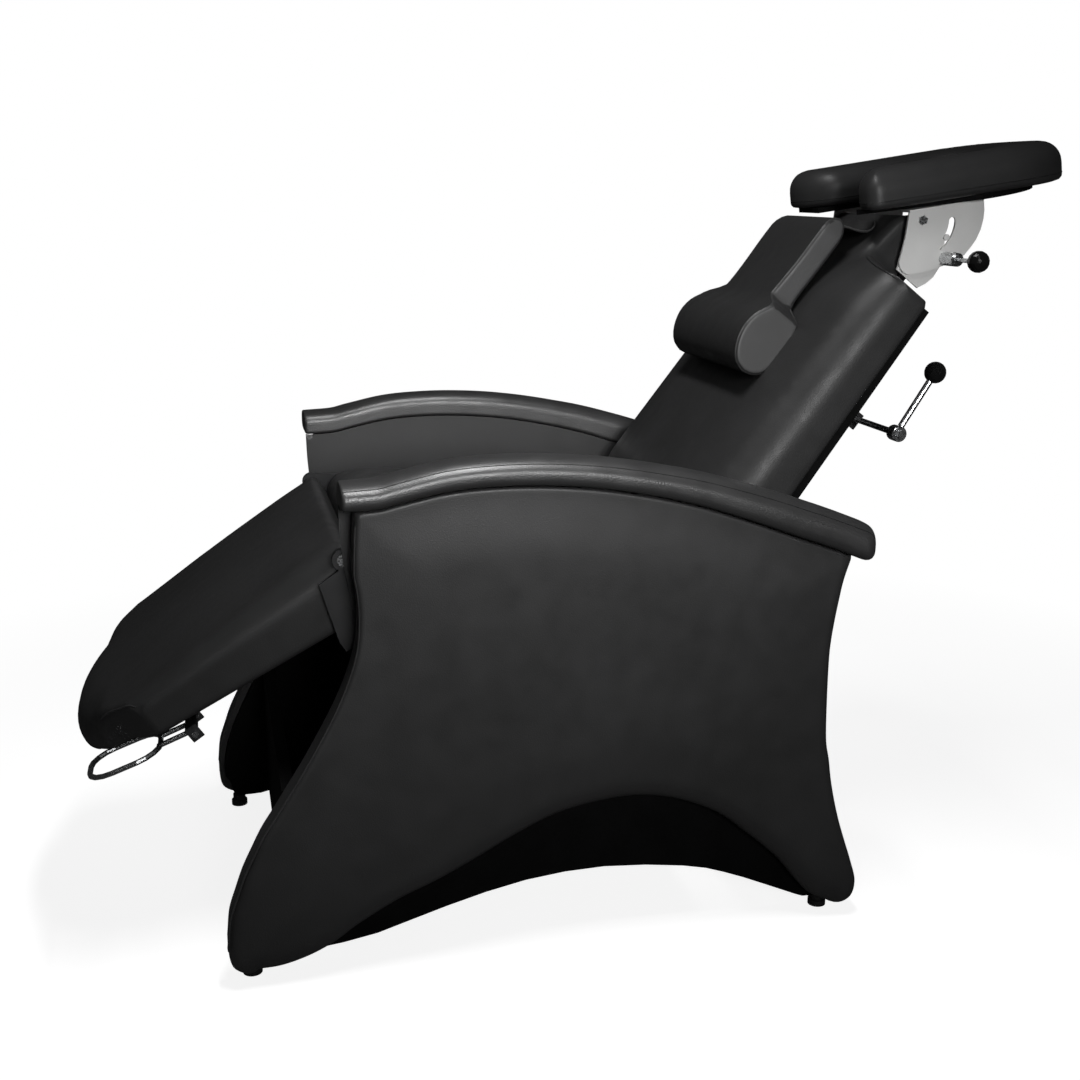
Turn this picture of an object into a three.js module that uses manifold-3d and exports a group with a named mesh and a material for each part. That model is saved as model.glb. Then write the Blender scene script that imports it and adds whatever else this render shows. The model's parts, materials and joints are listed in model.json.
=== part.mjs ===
// Reclining tattoo chair: seat, back and legrest cushions between two padded sides, with a face cradle
// Millimetres, z up, x towards the sitter's left, y towards the head end
import * as THREE from 'three';
import { mergeVertices } from 'three/addons/utils/BufferGeometryUtils.js';
import Module from 'manifold-3d';

const wasm = await Module();
wasm.setup();

// Driving sizes
const gap = 0.3;
const overrun = 4;
const cushionHalfWidth = 265;

// Sides: a board with a padded panel on its outer face and a padded cap along the top
const side = {
  length: 946, height: 700, front: -333, innerFace: 286,
  board: 20, panel: 43.7, panelEdge: 13, boardInset: 8,
};
const cap = { width: 77, overhang: 10, frontHeight: 46, rearHeight: 58, endRound: 18, front: -152,
  rear: 624 };
const foot = {
  height: 20, padRadius: 14, padHeight: 9, stemRadius: 11, studRadius: 4, studLength: 26,
  frontShare: 0.0328, rearShare: 0.9577,
};

// Cross boards and the seat
const crossBoard = {
  thickness: 18, frontShare: 0.0983, frontLow: 33, frontHigh: 270, rearShare: 0.8858, rearLow: 120,
  rearHigh: 330,
};
const seat = { boardLow: 486.7, boardThickness: 18, boardFront: -118, boardRear: 335, height: 121,
  edge: 34, lowerEdge: 8, crown: 8 };

// Hinges of the back and the legrest, with their slopes as the chair stands
const backHinge = { y: 368, z: 553, angle: 52, roll: 24 };
const legHinge = { y: -150, z: 600, angle: 34.5, roll: 20 };
const rollGap = 2;
const pivot = { pinRadius: 6, headRadius: 9, headLength: 3.5, plate: 5, lug: 16, fromCushion: 2.5,
  between: 1, flange: 80 };

// Back cushion, in its own frame: s up the back from the hinge, n square out of its front
const back = {
  front: 24, crown: 22, reach: 640, shoulder: 515, shoulderRise: 31, shoulderPower: 1.6,
  neckHalfWidth: 116, neckStart: 125,
  edge: 52, lowerEdge: 10, rearAtHinge: -62.3, rearTaper: 0.042, boardThickness: 12, boardLow: 40,
  boardInset: 5,
  armStart: 60, armEnd: 150, crownStart: 80,
};

// Legrest cushion, in its own frame: s down the legrest from the hinge, n square out of its top
const legrest = {
  reach: 500, sideReach: 350, bowPower: 2.6, bowStart: 250, edge: 40, lowerEdge: 8, crown: 3,
  underAtHinge: -91.1, underTaper: 0.1145, underStart: 32, armStart: 40, armEnd: 75, boardThickness: 10,
  boardInset: 42, boardStart: 45, boardEnd: 335,
};

// Neck pillow and its flap, in the back's frame
const pillow = { low: 284, high: 566, halfWidth: 147, depth: 76, power: 2.7 };
const flap = { halfWidth: 86, thickness: 3 };

// Release lever behind the back
const release = {
  s: 345, n: -144, shaftRadius: 5, shaftEnd: -92, hubRadius: 12, hubInner: 224, hubLength: 22, knobS: 452,
  knobN: -134,
  bracketPlace: 80, bracketThickness: 4, bracketLength: 40, bracketTip: 14, crank: 20, crankWidth: 20,
  crankThickness: 6,
  linkRadius: 3, linkEye: 10.5, linkEyeBore: 6.7, linkEyeWidth: 5, linkEnd: 112, guidePlace: 170,
  guideWidth: 22,
  boltRadius: 6.5, boltHead: 4,
};
const knobRadius = 16.5;
const knobBore = 12;

// Gas springs: the lower eye turns on a fixed bracket, the rod's eye swings in a clevis on what it lifts
const spring = {
  radius: 14, rodRadius: 5, eyeRadius: 10, eyeWidth: 28, pinRadius: 4.5, bodyStart: 17, wall: 18, cheek: 4,
  cheekPlace: 14.5, cheekHalfWidth: 13, base: 3, boltRadius: 7, boltHead: 4,
};
const backSpring = { y: 240, z: 380, s: 60, n: -105, body: 150, rod: 172 };
const legSpring = { y: -25, z: 430, s: 160, n: -108, body: 130, rod: 156 };

// Legrest release loop
const loop = {
  rod: 4, width: 92, length: 104, corner: 34, centre: 227, s: 363, n: -67.3, tilt: 14.5,
  pivotS: 312, pivotN: -79, legPlace: 17, barLength: 84, earPlace: 35, earThickness: 3, earWidth: 18, base: 3,
};

// Face cradle headrest: pivot in the back's frame, the rest in its own frame, v along the pad, w square to it
const cradle = {
  fromEnd: 3, pivotN: -10, tilt: 8, halfWidth: 162, armWidth: 100, armEnd: -88, bendCentre: 95,
  low: 18, padHeight: 68, padGrowth: 10, boardThickness: 8, boardInset: 10, endRound: 34, power: 2.5,
};
const plate = {
  thickness: 4, fixedInner: 126.4, between: 0.6, flange: 36, flangeStart: -15, flangeEnd: 100,
  left: -44, low: -80, length: 150, slotRadius: 51, slotWidth: 11, slotStart: -9, slotEnd: -59,
  boltRadius: 4, boltHead: 7.5, boltHeadHeight: 4, lug: 12, lugTurn: 112, studRadius: 5, studAngle: -31,
  indexHole: 4.3, indexStep: 12,
};
const plunger = { v: 34, w: -64, barrelRadius: 10.5, barrelLength: 41, chamfer: 3, shank: 6,
  rodRadius: 3.5, knobPlace: 235 };
const sides = { round: 20, small: 12, knob: 16 };

// Outline of a side as shares of its length and height: the front edge from the cap down to the foot
const frontEdgeShares = [
  [0.199, 0.965], [0.202, 0.86], [0.205, 0.736], [0.189, 0.643], [0.147, 0.521], [0.078, 0.369],
  [0.029, 0.244],
  [0.005, 0.155], [0, 0.093],
];
const rearEdgeShares = [
  [1, 0.083], [0.985, 0.14], [0.964, 0.233], [0.947, 0.329], [0.936, 0.423], [0.933, 0.56], [0.94, 0.69],
  [0.953, 0.776], [0.967, 0.81],
];
const panelArchShares = [
  [0.006, 0.05], [0.027, 0.031], [0.06, 0.04], [0.101, 0.052], [0.192, 0.107], [0.315, 0.184], [0.44, 0.27],
  [0.53, 0.314], [0.629, 0.327], [0.72, 0.297], [0.813, 0.214], [0.867, 0.149], [0.923, 0.061],
  [0.955, 0.031],
  [0.978, 0.033], [0.995, 0.05],
];
const boardArchShares = [
  [0.018, 0.04], [0.028, 0], [0.068, 0], [0.114, 0.012], [0.214, 0.03], [0.325, 0.074], [0.454, 0.115],
  [0.585, 0.127], [0.72, 0.107], [0.79, 0.08], [0.86, 0.04], [0.918, 0.005], [0.935, 0], [0.978, 0],
  [0.988, 0.03],
];
const capLineShares = [
  [0.191, 0.971], [0.238, 0.976], [0.266, 0.984], [0.337, 1.003], [0.409, 1.009], [0.481, 1.006],
  [0.555, 0.996],
  [0.631, 0.977], [0.708, 0.951], [0.788, 0.916], [0.869, 0.874], [0.934, 0.841], [1.012, 0.8],
];
const capEndShares = [[0, 0.7], [0.2, 0.86], [0.55, 0.96], [1, 1]];

// Side views of the cushions as shares of their length and height, going round from the lower front corner
const seatShares = [
  [0.02, 0], [0, 0.07], [0, 0.4], [0, 0.785], [0.012, 0.9], [0.043, 0.95], [0.124, 1], [0.273, 0.967],
  [0.486, 0.843],
  [0.698, 0.702], [0.868, 0.62], [0.949, 0.595], [0.984, 0.54], [1, 0.4], [1, 0.07], [0.985, 0],
];
const backEndShares = [[0.9, 1], [0.955, 0.93], [0.985, 0.8], [1, 0.6], [1, 0.3], [0.992, 0]];
const legTopShares = [[0, 1.06], [0.07, 1.27], [0.14, 1.4], [0.28, 1.45], [0.43, 1.39], [0.58, 1.22],
  [0.72, 1.05], [0.8, 1]];
const legEndShares = [[0.85, 0.95], [0.896, 0.6], [0.944, -0.25], [0.98, -1.1], [1, -1.65]];
const edgeShares = [0, 0.08, 0.3, 0.62, 1];
const seatStationShares = [0.7, 0.4, 0];
const legStationShares = [0.7, 0.5, 0.25, 0];
const backStationShares = [0.72, 0.6];
const neckStationShares = [1, 0.8, 0.45, 0];
const backFrontShares = [0.1, 0.22, 0.4, 0.58, 0.72, 0.81];
const backRearShares = [0.8, 0.6, 0.4, 0.2];
const legUnderShares = [0.99, 0.9, 0.7, 0.5, 0.3, 0.12];
const crownFadeShares = [0.85, 1.1];
const bendStartShare = 0.8;
const capRoundShares = [0.72, 0.78];
const headrestTipShares = [[0, 0.5], [0.12, 0.74], [0.35, 0.9], [0.65, 0.98]];
const springNeckShare = 0.8;
const legThicknessShare = 0.98;

// Neck pillow: places along it, then its half width, lower face and upper face as shares
const pillowShares = [
  [0, 0.8, 0.3, 0.5], [0.02, 0.92, 0.12, 0.74], [0.075, 0.99, 0, 0.92], [0.17, 1, 0, 0.99], [0.27, 1, 0, 1],
  [0.36, 0.96, 0.02, 0.93], [0.42, 0.84, 0.1, 0.8], [0.46, 0.72, 0.17, 0.76], [0.56, 0.685, 0.18, 0.79],
  [0.75, 0.68, 0.18, 0.82], [0.91, 0.675, 0.19, 0.8], [0.975, 0.64, 0.24, 0.72], [1, 0.57, 0.34, 0.62],
];
const flapShares = [[0.9, 0.125], [0.965, 0.015], [1.03, -0.208], [1.1, -0.27], [1.14, -0.3], [1.177, -0.33]];

// Headrest plates as shares of the tilting plate's length and height, and of the fixed plate's reach below
// its pivot
const tiltPlateShares = [
  [0.162, 1], [0.088, 0.563], [0.035, 0.348], [0.003, 0.22], [0.009, 0.146], [0.042, 0.056], [0.092, 0.014],
  [0.232, 0.005], [0.403, 0.031], [0.527, 0.066], [0.632, 0.105], [0.746, 0.174], [0.823, 0.28],
  [0.886, 0.381],
  [0.947, 0.533], [0.981, 0.681], [0.999, 0.812], [1, 1],
];
const fixedPlate = { length: 81, depth: 75 };
const fixedPlateShares = [
  [-1, -0.24], [-1, -0.86], [-0.83, -0.95], [-0.65, -1], [-0.43, -0.98], [-0.2, -0.9], [0.02, -0.7],
  [0.14, -0.4], [0.15, 0],
];
const backBoardShares = [[1, 0], [1, 0.79], [0.78, 0.815], [0.485, 0.84], [0.485, 1]];

// Finishes
const finish = (color, roughness, metalness) =>
  new THREE.MeshStandardMaterial({ color, roughness, metalness });
const vinyl = () => finish(0x1b1b1c, 0.5, 0);
const paintedBoard = () => finish(0x0b0b0b, 0.7, 0);
const blackSteel = () => finish(0x161616, 0.45, 0.6);
const whiteSteel = () => finish(0xd4d4d2, 0.45, 0.1);
const brightSteel = () => finish(0xb9bbbd, 0.25, 0.9);
const knobPlastic = () => finish(0x050505, 0.12, 0);
const footPlastic = () => finish(0x101010, 0.6, 0);

const rad = THREE.MathUtils.degToRad;
const vec = (x, y, z) => new THREE.Vector3(x, y, z);
const railX = cushionHalfWidth + pivot.fromCushion;
const armX = railX + pivot.plate + pivot.between;
const outerFace = side.innerFace + side.board + gap + side.panel;
const plateX = plate.fixedInner + plate.thickness + plate.between;
const deckHeight = seat.boardLow + seat.boardThickness;
const cradleS = back.reach - cradle.fromEnd;
const alongSide = (share) => side.front + share * side.length;

// Solids from rings of points, closed by a fan at each end, or joined end to end in a loop
function loft(rings, joined = false) {
  const count = rings[0].length;
  const points = rings.flat();
  const faces = [];
  const last = joined ? rings.length : rings.length - 1;
  for (let r = 0; r < last; r++) {
    const here = r * count;
    const next = ((r + 1) % rings.length) * count;
    for (let i = 0; i < count; i++) {
      const j = (i + 1) % count;
      faces.push(here + i, here + j, next + j, here + i, next + j, next + i);
    }
  }
  if (!joined) {
    const ends = [[0, rings[0], true], [(rings.length - 1) * count, rings.at(-1), false]];
    for (const [start, ring, first] of ends) {
      const middle = ring.reduce((sum, p) => sum.add(p), vec(0, 0, 0)).divideScalar(count);
      points.push(middle);
      for (let i = 0; i < count; i++) {
        const j = (i + 1) % count;
        faces.push(points.length - 1, start + (first ? j : i), start + (first ? i : j));
      }
    }
  }
  return outward(points, faces);
}

// A geometry whose faces point out, whichever way its rings ran
function outward(points, faces) {
  let volume = 0;
  for (let f = 0; f < faces.length; f += 3) {
    const [a, b, c] = [points[faces[f]], points[faces[f + 1]], points[faces[f + 2]]];
    volume += a.dot(b.clone().cross(c));
  }
  if (volume < 0) faces.reverse();
  const geometry = new THREE.BufferGeometry();
  geometry.setAttribute('position', new THREE.Float32BufferAttribute(points.flatMap((p) => p.toArray()), 3));
  geometry.setIndex(faces);
  return geometry;
}

// Cutting and joining
function toSolid(geometry) {
  const bare = geometry.clone();
  bare.deleteAttribute('normal');
  bare.deleteAttribute('uv');
  const merged = mergeVertices(bare);
  const vertProperties = new Float32Array(merged.attributes.position.array);
  const triVerts = new Uint32Array(merged.index.array);
  return new wasm.Manifold(new wasm.Mesh({ numProp: 3, vertProperties, triVerts }));
}

function toGeometry(solid) {
  const mesh = solid.getMesh();
  const geometry = new THREE.BufferGeometry();
  geometry.setAttribute('position', new THREE.Float32BufferAttribute(mesh.vertProperties, 3));
  geometry.setIndex(Array.from(mesh.triVerts));
  return geometry;
}

const join = (first, ...others) => toGeometry(others.reduce((sum, g) => sum.add(toSolid(g)), toSolid(first)));
const cut = (first, ...others) =>
  toGeometry(others.reduce((rest, g) => rest.subtract(toSolid(g)), toSolid(first)));

// The same piece on the other side of the chair
function mirrored(geometry) {
  const copy = geometry.clone().scale(-1, 1, 1);
  if (!copy.index) copy.setIndex([...Array(copy.attributes.position.count).keys()]);
  copy.setIndex(Array.from(copy.index.array).reverse());
  return copy;
}

// An outline in y and z, given thickness along x from its inner face
function plateOf(shape, thickness, inner, bevel = 0) {
  const options = { depth: thickness - 2 * bevel, bevelEnabled: bevel > 0, curveSegments: 8 };
  Object.assign(options, { bevelThickness: bevel, bevelSize: bevel, bevelOffset: -bevel, bevelSegments: 2 });
  const geometry = new THREE.ExtrudeGeometry(shape, options);
  geometry.applyMatrix4(new THREE.Matrix4().makeBasis(vec(0, 1, 0), vec(0, 0, 1), vec(1, 0, 0)));
  return geometry.translate(inner + bevel, 0, 0);
}

// A cylinder along x, y or z between two places
function rodAlong(axis, radius, low, high, segments = sides.small) {
  const geometry = new THREE.CylinderGeometry(radius, radius, high - low, segments);
  geometry.translate(0, (low + high) / 2, 0);
  if (axis === 'x') geometry.rotateZ(-Math.PI / 2);
  if (axis === 'z') geometry.rotateX(Math.PI / 2);
  return geometry;
}

// A turned piece along x, from pairs of radius and place
function turnedAlongX(profile, segments = sides.round) {
  const geometry = new THREE.LatheGeometry(profile.map(([r, x]) => new THREE.Vector2(r, x)), segments);
  return solidLathe(geometry).rotateZ(-Math.PI / 2);
}

function solidLathe(geometry) {
  const bare = geometry.clone();
  bare.deleteAttribute('normal');
  bare.deleteAttribute('uv');
  const merged = mergeVertices(bare);
  const points = [];
  const place = merged.attributes.position;
  for (let i = 0; i < place.count; i++) points.push(vec(place.getX(i), place.getY(i), place.getZ(i)));
  const faces = [];
  for (let f = 0; f < merged.index.count; f += 3) {
    const corner = [0, 1, 2].map((k) => merged.index.getX(f + k));
    if (new Set(corner).size === 3) faces.push(...corner);
  }
  return outward(points, faces);
}

const block = (x0, x1, y0, y1, z0, z1) =>
  new THREE.BoxGeometry(x1 - x0, y1 - y0, z1 - z0).translate((x0 + x1) / 2, (y0 + y1) / 2, (z0 + z1) / 2);

const at = (shares, origin, size) =>
  shares.map(([a, b]) => new THREE.Vector2(origin[0] + a * size[0], origin[1] + b * size[1]));

// Adds a piece to a group under its name
function add(group, name, geometry, material) {
  const mesh = new THREE.Mesh(geometry, material);
  mesh.name = name;
  group.add(mesh);
}

function addPair(group, name, geometry, material) {
  add(group, `${name}_left`, geometry, material());
  add(group, `${name}_right`, mirrored(geometry), material());
}

// The line that the cap's flat underside follows, as a height for each y
const capPoints = at(capLineShares, [side.front, 0], [side.length, side.height]);
const capLine = new THREE.SplineCurve(capPoints).getPoints(24);
const capPlaces = (low, high) => capLine.map((p) => p.x).filter((y) => y > low && y < high);
function capBase(y) {
  const k = Math.max(1, capLine.findIndex((p) => p.x >= y));
  const [a, b] = [capLine[k - 1], capLine[k]];
  return a.y + (b.y - a.y) * (y - a.x) / (b.x - a.x);
}

// Outline of a side board or panel, whose top keeps a gap under the cap
function sideShape(archShares, inset, archBase) {
  const size = [side.length, side.height];
  const front = at(frontEdgeShares, [side.front + inset, 0], size);
  const arch = at(archShares, [side.front, archBase], size);
  const rear = at(rearEdgeShares, [side.front - inset, 0], size);
  const edge = new THREE.SplineCurve([...front, ...arch, ...rear]);
  const outline = edge.getPoints(2 * (front.length + arch.length + rear.length));
  for (const p of outline) p.y = Math.max(p.y, archBase);
  const [first, last] = [outline[0], outline.at(-1)];
  first.y = capBase(first.x) - gap;
  last.y = capBase(last.x) - gap;
  const top = capPlaces(first.x + side.panelEdge, last.x - side.panelEdge).reverse();
  return new THREE.Shape([...outline, ...top.map((y) => new THREE.Vector2(y, capBase(y) - gap))]);
}

// A side board, drilled from below for the two levelling feet
function sideBoard() {
  const board = plateOf(sideShape(boardArchShares, side.boardInset, foot.height + gap), side.board,
    side.innerFace);
  const middle = side.innerFace + side.board / 2;
  const hole = rodAlong('z', foot.studRadius + gap, foot.height - overrun,
    foot.height + foot.studLength + gap);
  const holes = [foot.frontShare, foot.rearShare].map((share) =>
    hole.clone().translate(middle, alongSide(share), 0));
  return cut(board, ...holes);
}

const sidePanel = () =>
  plateOf(sideShape(panelArchShares, 0, 0), side.panel, side.innerFace + side.board + gap, side.panelEdge);

// Padded arm cap: a flat underside, a rounded top, drawn in at both ends
function armCap() {
  const middle = outerFace + cap.overhang - cap.width / 2;
  const stations = [
    ...capEndShares.map(([a, full]) => [cap.front + a * cap.endRound, full]),
    ...capPlaces(cap.front + cap.endRound, cap.rear - cap.endRound).map((y) => [y, 1]),
    ...[...capEndShares].reverse().map(([a, full]) => [cap.rear - a * cap.endRound, full]),
  ];
  const points = 12;
  return loft(stations.map(([y, full]) => {
    const along = (y - cap.front) / (cap.rear - cap.front);
    const height = (cap.frontHeight + (cap.rearHeight - cap.frontHeight) * along) * full;
    const width = cap.width * (1 + full) / 4;
    return Array.from({ length: points + 1 }, (_, i) => {
      const angle = Math.PI * i / points;
      const across = Math.sign(Math.cos(angle)) * Math.abs(Math.cos(angle)) ** capRoundShares[0];
      return vec(middle + width * across, y, capBase(y) + height * Math.sin(angle) ** capRoundShares[1]);
    });
  }));
}

// A levelling foot: pad, body and threaded stud turned in one
function levellingFoot() {
  const profile = [
    [0, 0], [foot.padRadius, 0], [foot.padRadius, foot.padHeight], [foot.stemRadius, foot.padHeight],
    [foot.stemRadius, foot.height], [foot.studRadius, foot.height],
    [foot.studRadius, foot.height + foot.studLength],
    [0, foot.height + foot.studLength],
  ];
  const points = profile.map(([r, z]) => new THREE.Vector2(r, z));
  return solidLathe(new THREE.LatheGeometry(points, sides.round)).rotateX(Math.PI / 2);
}

// A cushion: its side view swept across the chair, with rounded side edges, a crown and a shaped end
function cushion({ outline, halfWidth, radiusAt, crownAt, endAt, startAt, stations }) {
  const count = outline.length;
  const normals = outline.map((p, i) => {
    const [before, after] = [outline[(i + count - 1) % count], outline[(i + 1) % count]];
    return new THREE.Vector2(after.y - before.y, before.x - after.x).normalize();
  });
  const winding = THREE.ShapeUtils.area(outline) > 0 ? 1 : -1;
  const radii = outline.map((p, i) => radiusAt(p, normals[i].y * winding));
  const widest = Math.max(...radii);
  const reach = Math.max(...outline.map((p) => p.x));
  const half = [...edgeShares.map((e) => halfWidth - e * widest), ...stations];
  const places = [...half, ...half.slice(0, -1).map((x) => -x).reverse()];
  if (half.at(-1) !== 0) throw new Error('the last station is the middle of the cushion');
  return loft(places.map((x) => outline.map((p, i) => {
    const inward = Math.max(0, radii[i] - (halfWidth - Math.abs(x)));
    const inset = radii[i] - Math.sqrt(radii[i] ** 2 - inward ** 2);
    const out = normals[i].clone().multiplyScalar(winding * -inset);
    let along = p.x + out.x;
    const stretch = (endAt(Math.abs(x)) - startAt) / (reach - startAt);
    if (along > startAt) along = startAt + (along - startAt) * stretch;
    const upward = Math.max(0, normals[i].y * winding);
    const rise = crownAt(p.x) * (1 - (x / halfWidth) ** 2) * upward;
    return vec(x, along, p.y + out.y + rise);
  })));
}

function seatCushion() {
  const front = legHinge.y + legHinge.roll + rollGap;
  const rear = backHinge.y - backHinge.roll - rollGap;
  const outline = at(seatShares, [front, deckHeight + gap], [rear - front, seat.height]);
  const middle = deckHeight + seat.height / 3;
  return cushion({
    outline, halfWidth: cushionHalfWidth, startAt: rear, endAt: () => rear,
    radiusAt: (p) => (p.y > middle ? seat.edge : seat.lowerEdge),
    crownAt: () => seat.crown,
    stations: seatStationShares.map((share) => cushionHalfWidth * share),
  });
}

// The rear face of the back cushion, and the front face of the board behind it
const backRear = (s) => back.rearAtHinge + back.rearTaper * s;

// Where the back cushion ends at each distance from the middle: rounded shoulders, then the neck
function backEnd(x) {
  if (x <= back.neckHalfWidth) return back.reach;
  const share = Math.max(0, (cushionHalfWidth - x) / (cushionHalfWidth - back.neckStart));
  return back.shoulder + back.shoulderRise * share ** back.shoulderPower;
}

function backCushion() {
  const roll = backHinge.roll;
  const steps = 5;
  const outline = [new THREE.Vector2(roll / 2, backRear(roll / 2) + gap),
    new THREE.Vector2(-roll / 3, backRear(0) / 2)];
  for (let i = 0; i <= steps; i++) {
    const angle = Math.PI - (Math.PI / 2) * i / steps;
    outline.push(new THREE.Vector2(roll * Math.cos(angle), roll * Math.sin(angle)));
  }
  const neckRear = backRear(back.reach) + gap;
  for (const share of backFrontShares) outline.push(new THREE.Vector2(back.reach * share, back.front));
  outline.push(...at(backEndShares, [0, neckRear], [back.reach, back.front - neckRear]));
  for (const s of backRearShares.map((share) => back.reach * share)) {
    outline.push(new THREE.Vector2(s, backRear(s) + gap));
  }
  return cushion({
    outline, halfWidth: cushionHalfWidth, startAt: back.shoulder * bendStartShare, endAt: backEnd,
    radiusAt: (p) => (p.y > 0 && p.x > 0 ? back.edge : back.lowerEdge),
    crownAt: (s) => back.crown * THREE.MathUtils.smoothstep(s, 0, back.crownStart) *
      (1 - THREE.MathUtils.smoothstep(s, ...crownFadeShares.map((share) => back.shoulder * share))),
    stations: [
      ...backStationShares.map((share) => cushionHalfWidth * share), back.neckStart,
      ...neckStationShares.map((share) => back.neckHalfWidth * share),
    ],
  });
}

// The underside of the legrest cushion, where its board lies
const legUnder = (s) => legrest.underAtHinge + legrest.underTaper * s;
const legEnd = (x) =>
  legrest.sideReach + (legrest.reach - legrest.sideReach) * (1 - (x / cushionHalfWidth) ** legrest.bowPower);

function legCushion() {
  const roll = legHinge.roll;
  const steps = 4;
  const outline = [new THREE.Vector2(legrest.underStart, legUnder(roll) + roll / 2),
    new THREE.Vector2(-roll / 2, -roll)];
  for (let i = 0; i < steps; i++) {
    const angle = Math.PI - (Math.PI / 2) * i / steps;
    outline.push(new THREE.Vector2(roll * Math.cos(angle), roll * Math.sin(angle)));
  }
  outline.push(...at(legTopShares, [0, 0], [legrest.reach, roll]),
    ...at(legEndShares, [0, 0], [legrest.reach, roll]));
  for (const s of legUnderShares.map((share) => legrest.reach * share)) {
    outline.push(new THREE.Vector2(s, legUnder(s)));
  }
  const geometry = cushion({
    outline, halfWidth: cushionHalfWidth, startAt: legrest.bowStart, endAt: legEnd,
    radiusAt: (p) => (p.y > -roll && p.x > 0 ? legrest.edge : legrest.lowerEdge),
    crownAt: () => legrest.crown,
    stations: legStationShares.map((share) => cushionHalfWidth * share),
  });
  return downLeg(geometry);
}

// A piece of the legrest, drawn with s running away from the hinge, turned to run towards the foot end
function downLeg(geometry) {
  const copy = geometry.clone().scale(1, -1, 1);
  if (!copy.index) copy.setIndex([...Array(copy.attributes.position.count).keys()]);
  copy.setIndex(Array.from(copy.index.array).reverse());
  return copy;
}

// Neck pillow: a thick roll at the lower end that narrows to a flat block
function neckPillow() {
  const low = back.front + back.crown + gap;
  const points = 20;
  return loft(pillowShares.map(([a, width, under, over]) => {
    const s = pillow.low + (pillow.high - pillow.low) * a;
    const [bottom, top] = [low + under * pillow.depth, low + over * pillow.depth];
    return superRing(points, pillow.power, pillow.halfWidth * width, (top - bottom) / 2)
      .map(([x, n]) => vec(x, s, (top + bottom) / 2 + n));
  }));
}

// Points of a rounded oblong, given its half sizes
function superRing(points, power, halfWidth, halfHeight) {
  return Array.from({ length: points }, (_, i) => {
    const angle = 2 * Math.PI * (i + 0.5) / points;
    const [c, s] = [Math.cos(angle), Math.sin(angle)];
    const round = (value) => Math.sign(value) * Math.abs(value) ** (2 / power);
    return [halfWidth * round(c), halfHeight * round(s)];
  });
}

// The pillow's flap, a strip that lies down over the neck
function pillowFlap() {
  const low = back.front + back.crown + gap;
  const curve = new THREE.SplineCurve(at(flapShares, [0, low], [back.shoulder, pillow.depth]));
  const line = curve.getPoints(12);
  return loft(line.map((p, i) => {
    const ahead = curve.getTangent(i / 12);
    const out = [-ahead.y * flap.thickness, ahead.x * flap.thickness];
    const corners = [[-1, 0], [1, 0], [1, 1], [-1, 1]];
    return corners.map(([way, k]) => vec(way * flap.halfWidth, p.x + k * out[0], p.y + k * out[1]));
  }));
}

// The board behind the back cushion, with a narrow neck for the headrest plates
function backBoard() {
  const wide = cushionHalfWidth - back.boardInset;
  const right = at(backBoardShares, [0, back.boardLow],
    [wide, back.reach - 2 * back.boardInset - back.boardLow]);
  const neck = plate.fixedInner - gap;
  for (const p of right) if (p.x < wide / 2) p.x = neck;
  const shape = new THREE.Shape([...right, ...right.map((p) => new THREE.Vector2(-p.x, p.y)).reverse()]);
  const geometry = new THREE.ExtrudeGeometry(shape, { depth: back.boardThickness, bevelEnabled: false });
  return onBackRear(geometry.translate(0, 0, -back.boardThickness));
}

// Leans a piece, drawn with z at 0 on the board's front face, onto the tapering rear of the back
const onBackRear = (geometry) =>
  geometry.rotateX(Math.atan(back.rearTaper)).translate(0, 0, back.rearAtHinge);
const behindBoard = (s) => backRear(s) - back.boardThickness - gap;
const onLegUnder = (geometry) =>
  geometry.rotateX(Math.atan(legrest.underTaper)).translate(0, 0, legrest.underAtHinge - gap);
const underLegBoard = (s) => legUnder(s) - gap - legrest.boardThickness - gap;

const legBoard = () => downLeg(onLegUnder(block(
  -cushionHalfWidth + legrest.boardInset, cushionHalfWidth - legrest.boardInset,
  legrest.boardStart, legrest.boardEnd, -legrest.boardThickness, 0)));

// A hinge arm: a lug on the pin, a leg in the side gap and a flange under the board that it carries
function hingeArm({ start, end, face, taper }) {
  const lug = pivot.lug;
  const faceAt = (s) => face + taper * s;
  const leg = [
    [start + lug / 2, lug / 2 - lug], [end, faceAt(end)], [end, faceAt(end) - lug],
    [start, faceAt(start) - lug],
    [-lug / 2, -lug / 2],
  ];
  const inner = armX;
  const thickness = pivot.plate;
  const outline = new THREE.Shape(leg.map(([s, n]) => new THREE.Vector2(s, n)));
  const flangeStart = start + lug;
  const flangeShape = new THREE.Shape([
    [flangeStart, faceAt(flangeStart) - gap], [end, faceAt(end) - gap],
    [end, faceAt(end) - gap - thickness], [flangeStart, faceAt(flangeStart) - gap - thickness],
  ].map(([s, n]) => new THREE.Vector2(s, n)));
  const flange = plateOf(flangeShape, pivot.flange + thickness, inner - pivot.flange);
  const body = join(rodAlong('x', lug, inner, inner + thickness, sides.round),
    plateOf(outline, thickness, inner), flange);
  return cut(body, rodAlong('x', pivot.pinRadius + gap, inner - overrun, inner + thickness + overrun));
}

// Steel rail beside the seat cushion that carries both hinges
function seatRail() {
  const shape = new THREE.Shape();
  const lug = pivot.lug;
  shape.moveTo(seat.boardRear, deckHeight + gap);
  shape.absarc(backHinge.y, backHinge.z, lug, rad(-70), rad(85), false);
  shape.absarc(legHinge.y, legHinge.z, lug, rad(85), rad(220), false);
  shape.lineTo(seat.boardFront, deckHeight + gap);
  const holes = [backHinge, legHinge].map((h) =>
    rodAlong('x', pivot.pinRadius + gap, railX - overrun, railX + pivot.plate + overrun)
      .translate(0, h.y, h.z));
  return cut(plateOf(shape, pivot.plate, railX), ...holes);
}

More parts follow.
